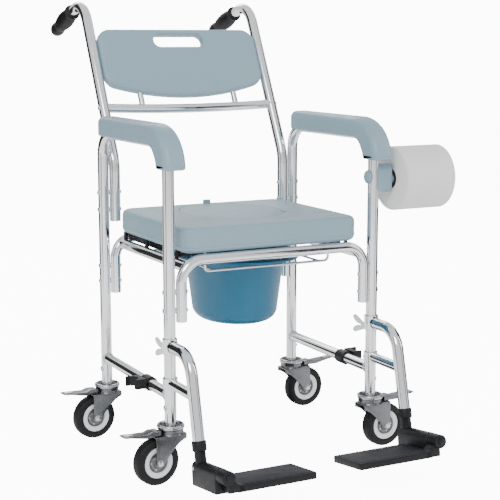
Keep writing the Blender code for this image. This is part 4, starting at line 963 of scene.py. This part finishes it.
def level_by_ray(tree, levels):
    """A strength that differs for diffuse light, the camera and gloss."""
    plain, seen, gloss = levels
    rays = tree.nodes.new("ShaderNodeLightPath")
    total = plain
    for output, value in (("Is Camera Ray", seen), ("Is Glossy Ray", gloss)):
        step = tree.nodes.new("ShaderNodeMath")
        step.operation = "MULTIPLY_ADD"
        step.inputs[1].default_value = value - plain
        tree.links.new(rays.outputs[output], step.inputs[0])
        if total is plain:
            step.inputs[2].default_value = plain
        else:
            tree.links.new(total, step.inputs[2])
        total = step.outputs[0]
    return total


def grid_mesh(name, segments, size):
    shape = bmesh.new()
    bmesh.ops.create_grid(shape, x_segments=segments, y_segments=segments, size=size)
    mesh = bpy.data.meshes.new(name)
    shape.to_mesh(mesh)
    shape.free()
    return mesh


def flag(name, size, place, turned, look):
    """A dark sheet that is seen only in reflections."""
    made = stage_mesh(name, grid_mesh("flag", 1, 0.5), look)
    made.location, made.rotation_euler, made.scale = place, turned, (*size, 1)
    made.visible_camera = made.visible_diffuse = made.visible_shadow = False
    made.visible_transmission = made.visible_volume_scatter = False


def room():
    """A pale floor that glows a little, a pale sky, three soft lights and the flags."""
    look = surface("floor_skin", (0.94, 0.94, 0.94), 0.85, grain=60, bump=0.01, mottle=0.002,
                   rough_spread=0.04)
    tree = look.node_tree
    shader = tree.nodes["Principled BSDF"]
    put(shader, Emission_Color=(1, 1, 1, 1))
    tree.links.new(level_by_ray(tree, FLOOR_GLOW), shader.inputs["Emission Strength"])
    floor = stage_mesh("floor", grid_mesh("floor", 2, 9.0), look)
    floor.location = (0, 0, -0.0005)
    world = bpy.data.worlds.new("studio")
    world.use_nodes = True
    shader = world.node_tree.nodes["Background"]
    put(shader, Color=(0.98, 0.99, 1.0, 1))
    world.node_tree.links.new(level_by_ray(world.node_tree, SKY), shader.inputs["Strength"])
    bpy.context.scene.world = world
    middle = (0, 0, 0.5)
    area("key", (-2.4, -2.6, 3.0), middle, (1.8, 1.8), 80)
    area("fill", (3.0, -1.6, 1.9), middle, (1.2, 2.2), 34)
    area("back", (0.6, 3.0, 2.6), middle, (2.4, 1.2), 36)
    dark = surface("flag_skin", (0.01, 0.01, 0.01), 0.9, bump=0.02)
    for index, (bearing, far, width, height) in enumerate(FLAGS):
        angle = math.radians(bearing)
        flag(f"flag_{index}", (width, height), (far * math.cos(angle), far * math.sin(angle), height / 2),
             (math.pi / 2, 0, angle - math.pi / 2), dark)
    flag(f"flag_{len(FLAGS)}", FLOOR_FLAG, (0, 0, FLOOR_FLAG_Z), (0, 0, 0), dark)


def camera():
    """At standing height in front of the chair's right side, looking a little down."""
    data = bpy.data.cameras.new("camera")
    data.lens, data.sensor_width = CAMERA_LENS, 36.0
    data.clip_end = 50
    made = linked("camera", data)
    made.location = ORIGIN + Vector(CAMERA_PLACE)
    made.rotation_euler = (math.pi / 2 - CAMERA_PITCH, 0, -CAMERA_HEADING)
    bpy.context.scene.camera = made


side_frames()
seat_bows()
seat_rails()
backs()
arm_pads()
seat()
seat_ridge()
lid_and_tab()
bucket()
rack()
roll()
for side, sign in SIDES.items():
    footrest(side, sign)
    caster("front", side, sign * LEG_X, 0)
    caster("rear", side, sign * LEG_X, REAR_Y)
clips()
room()
camera()

bpy.context.view_layer.update()
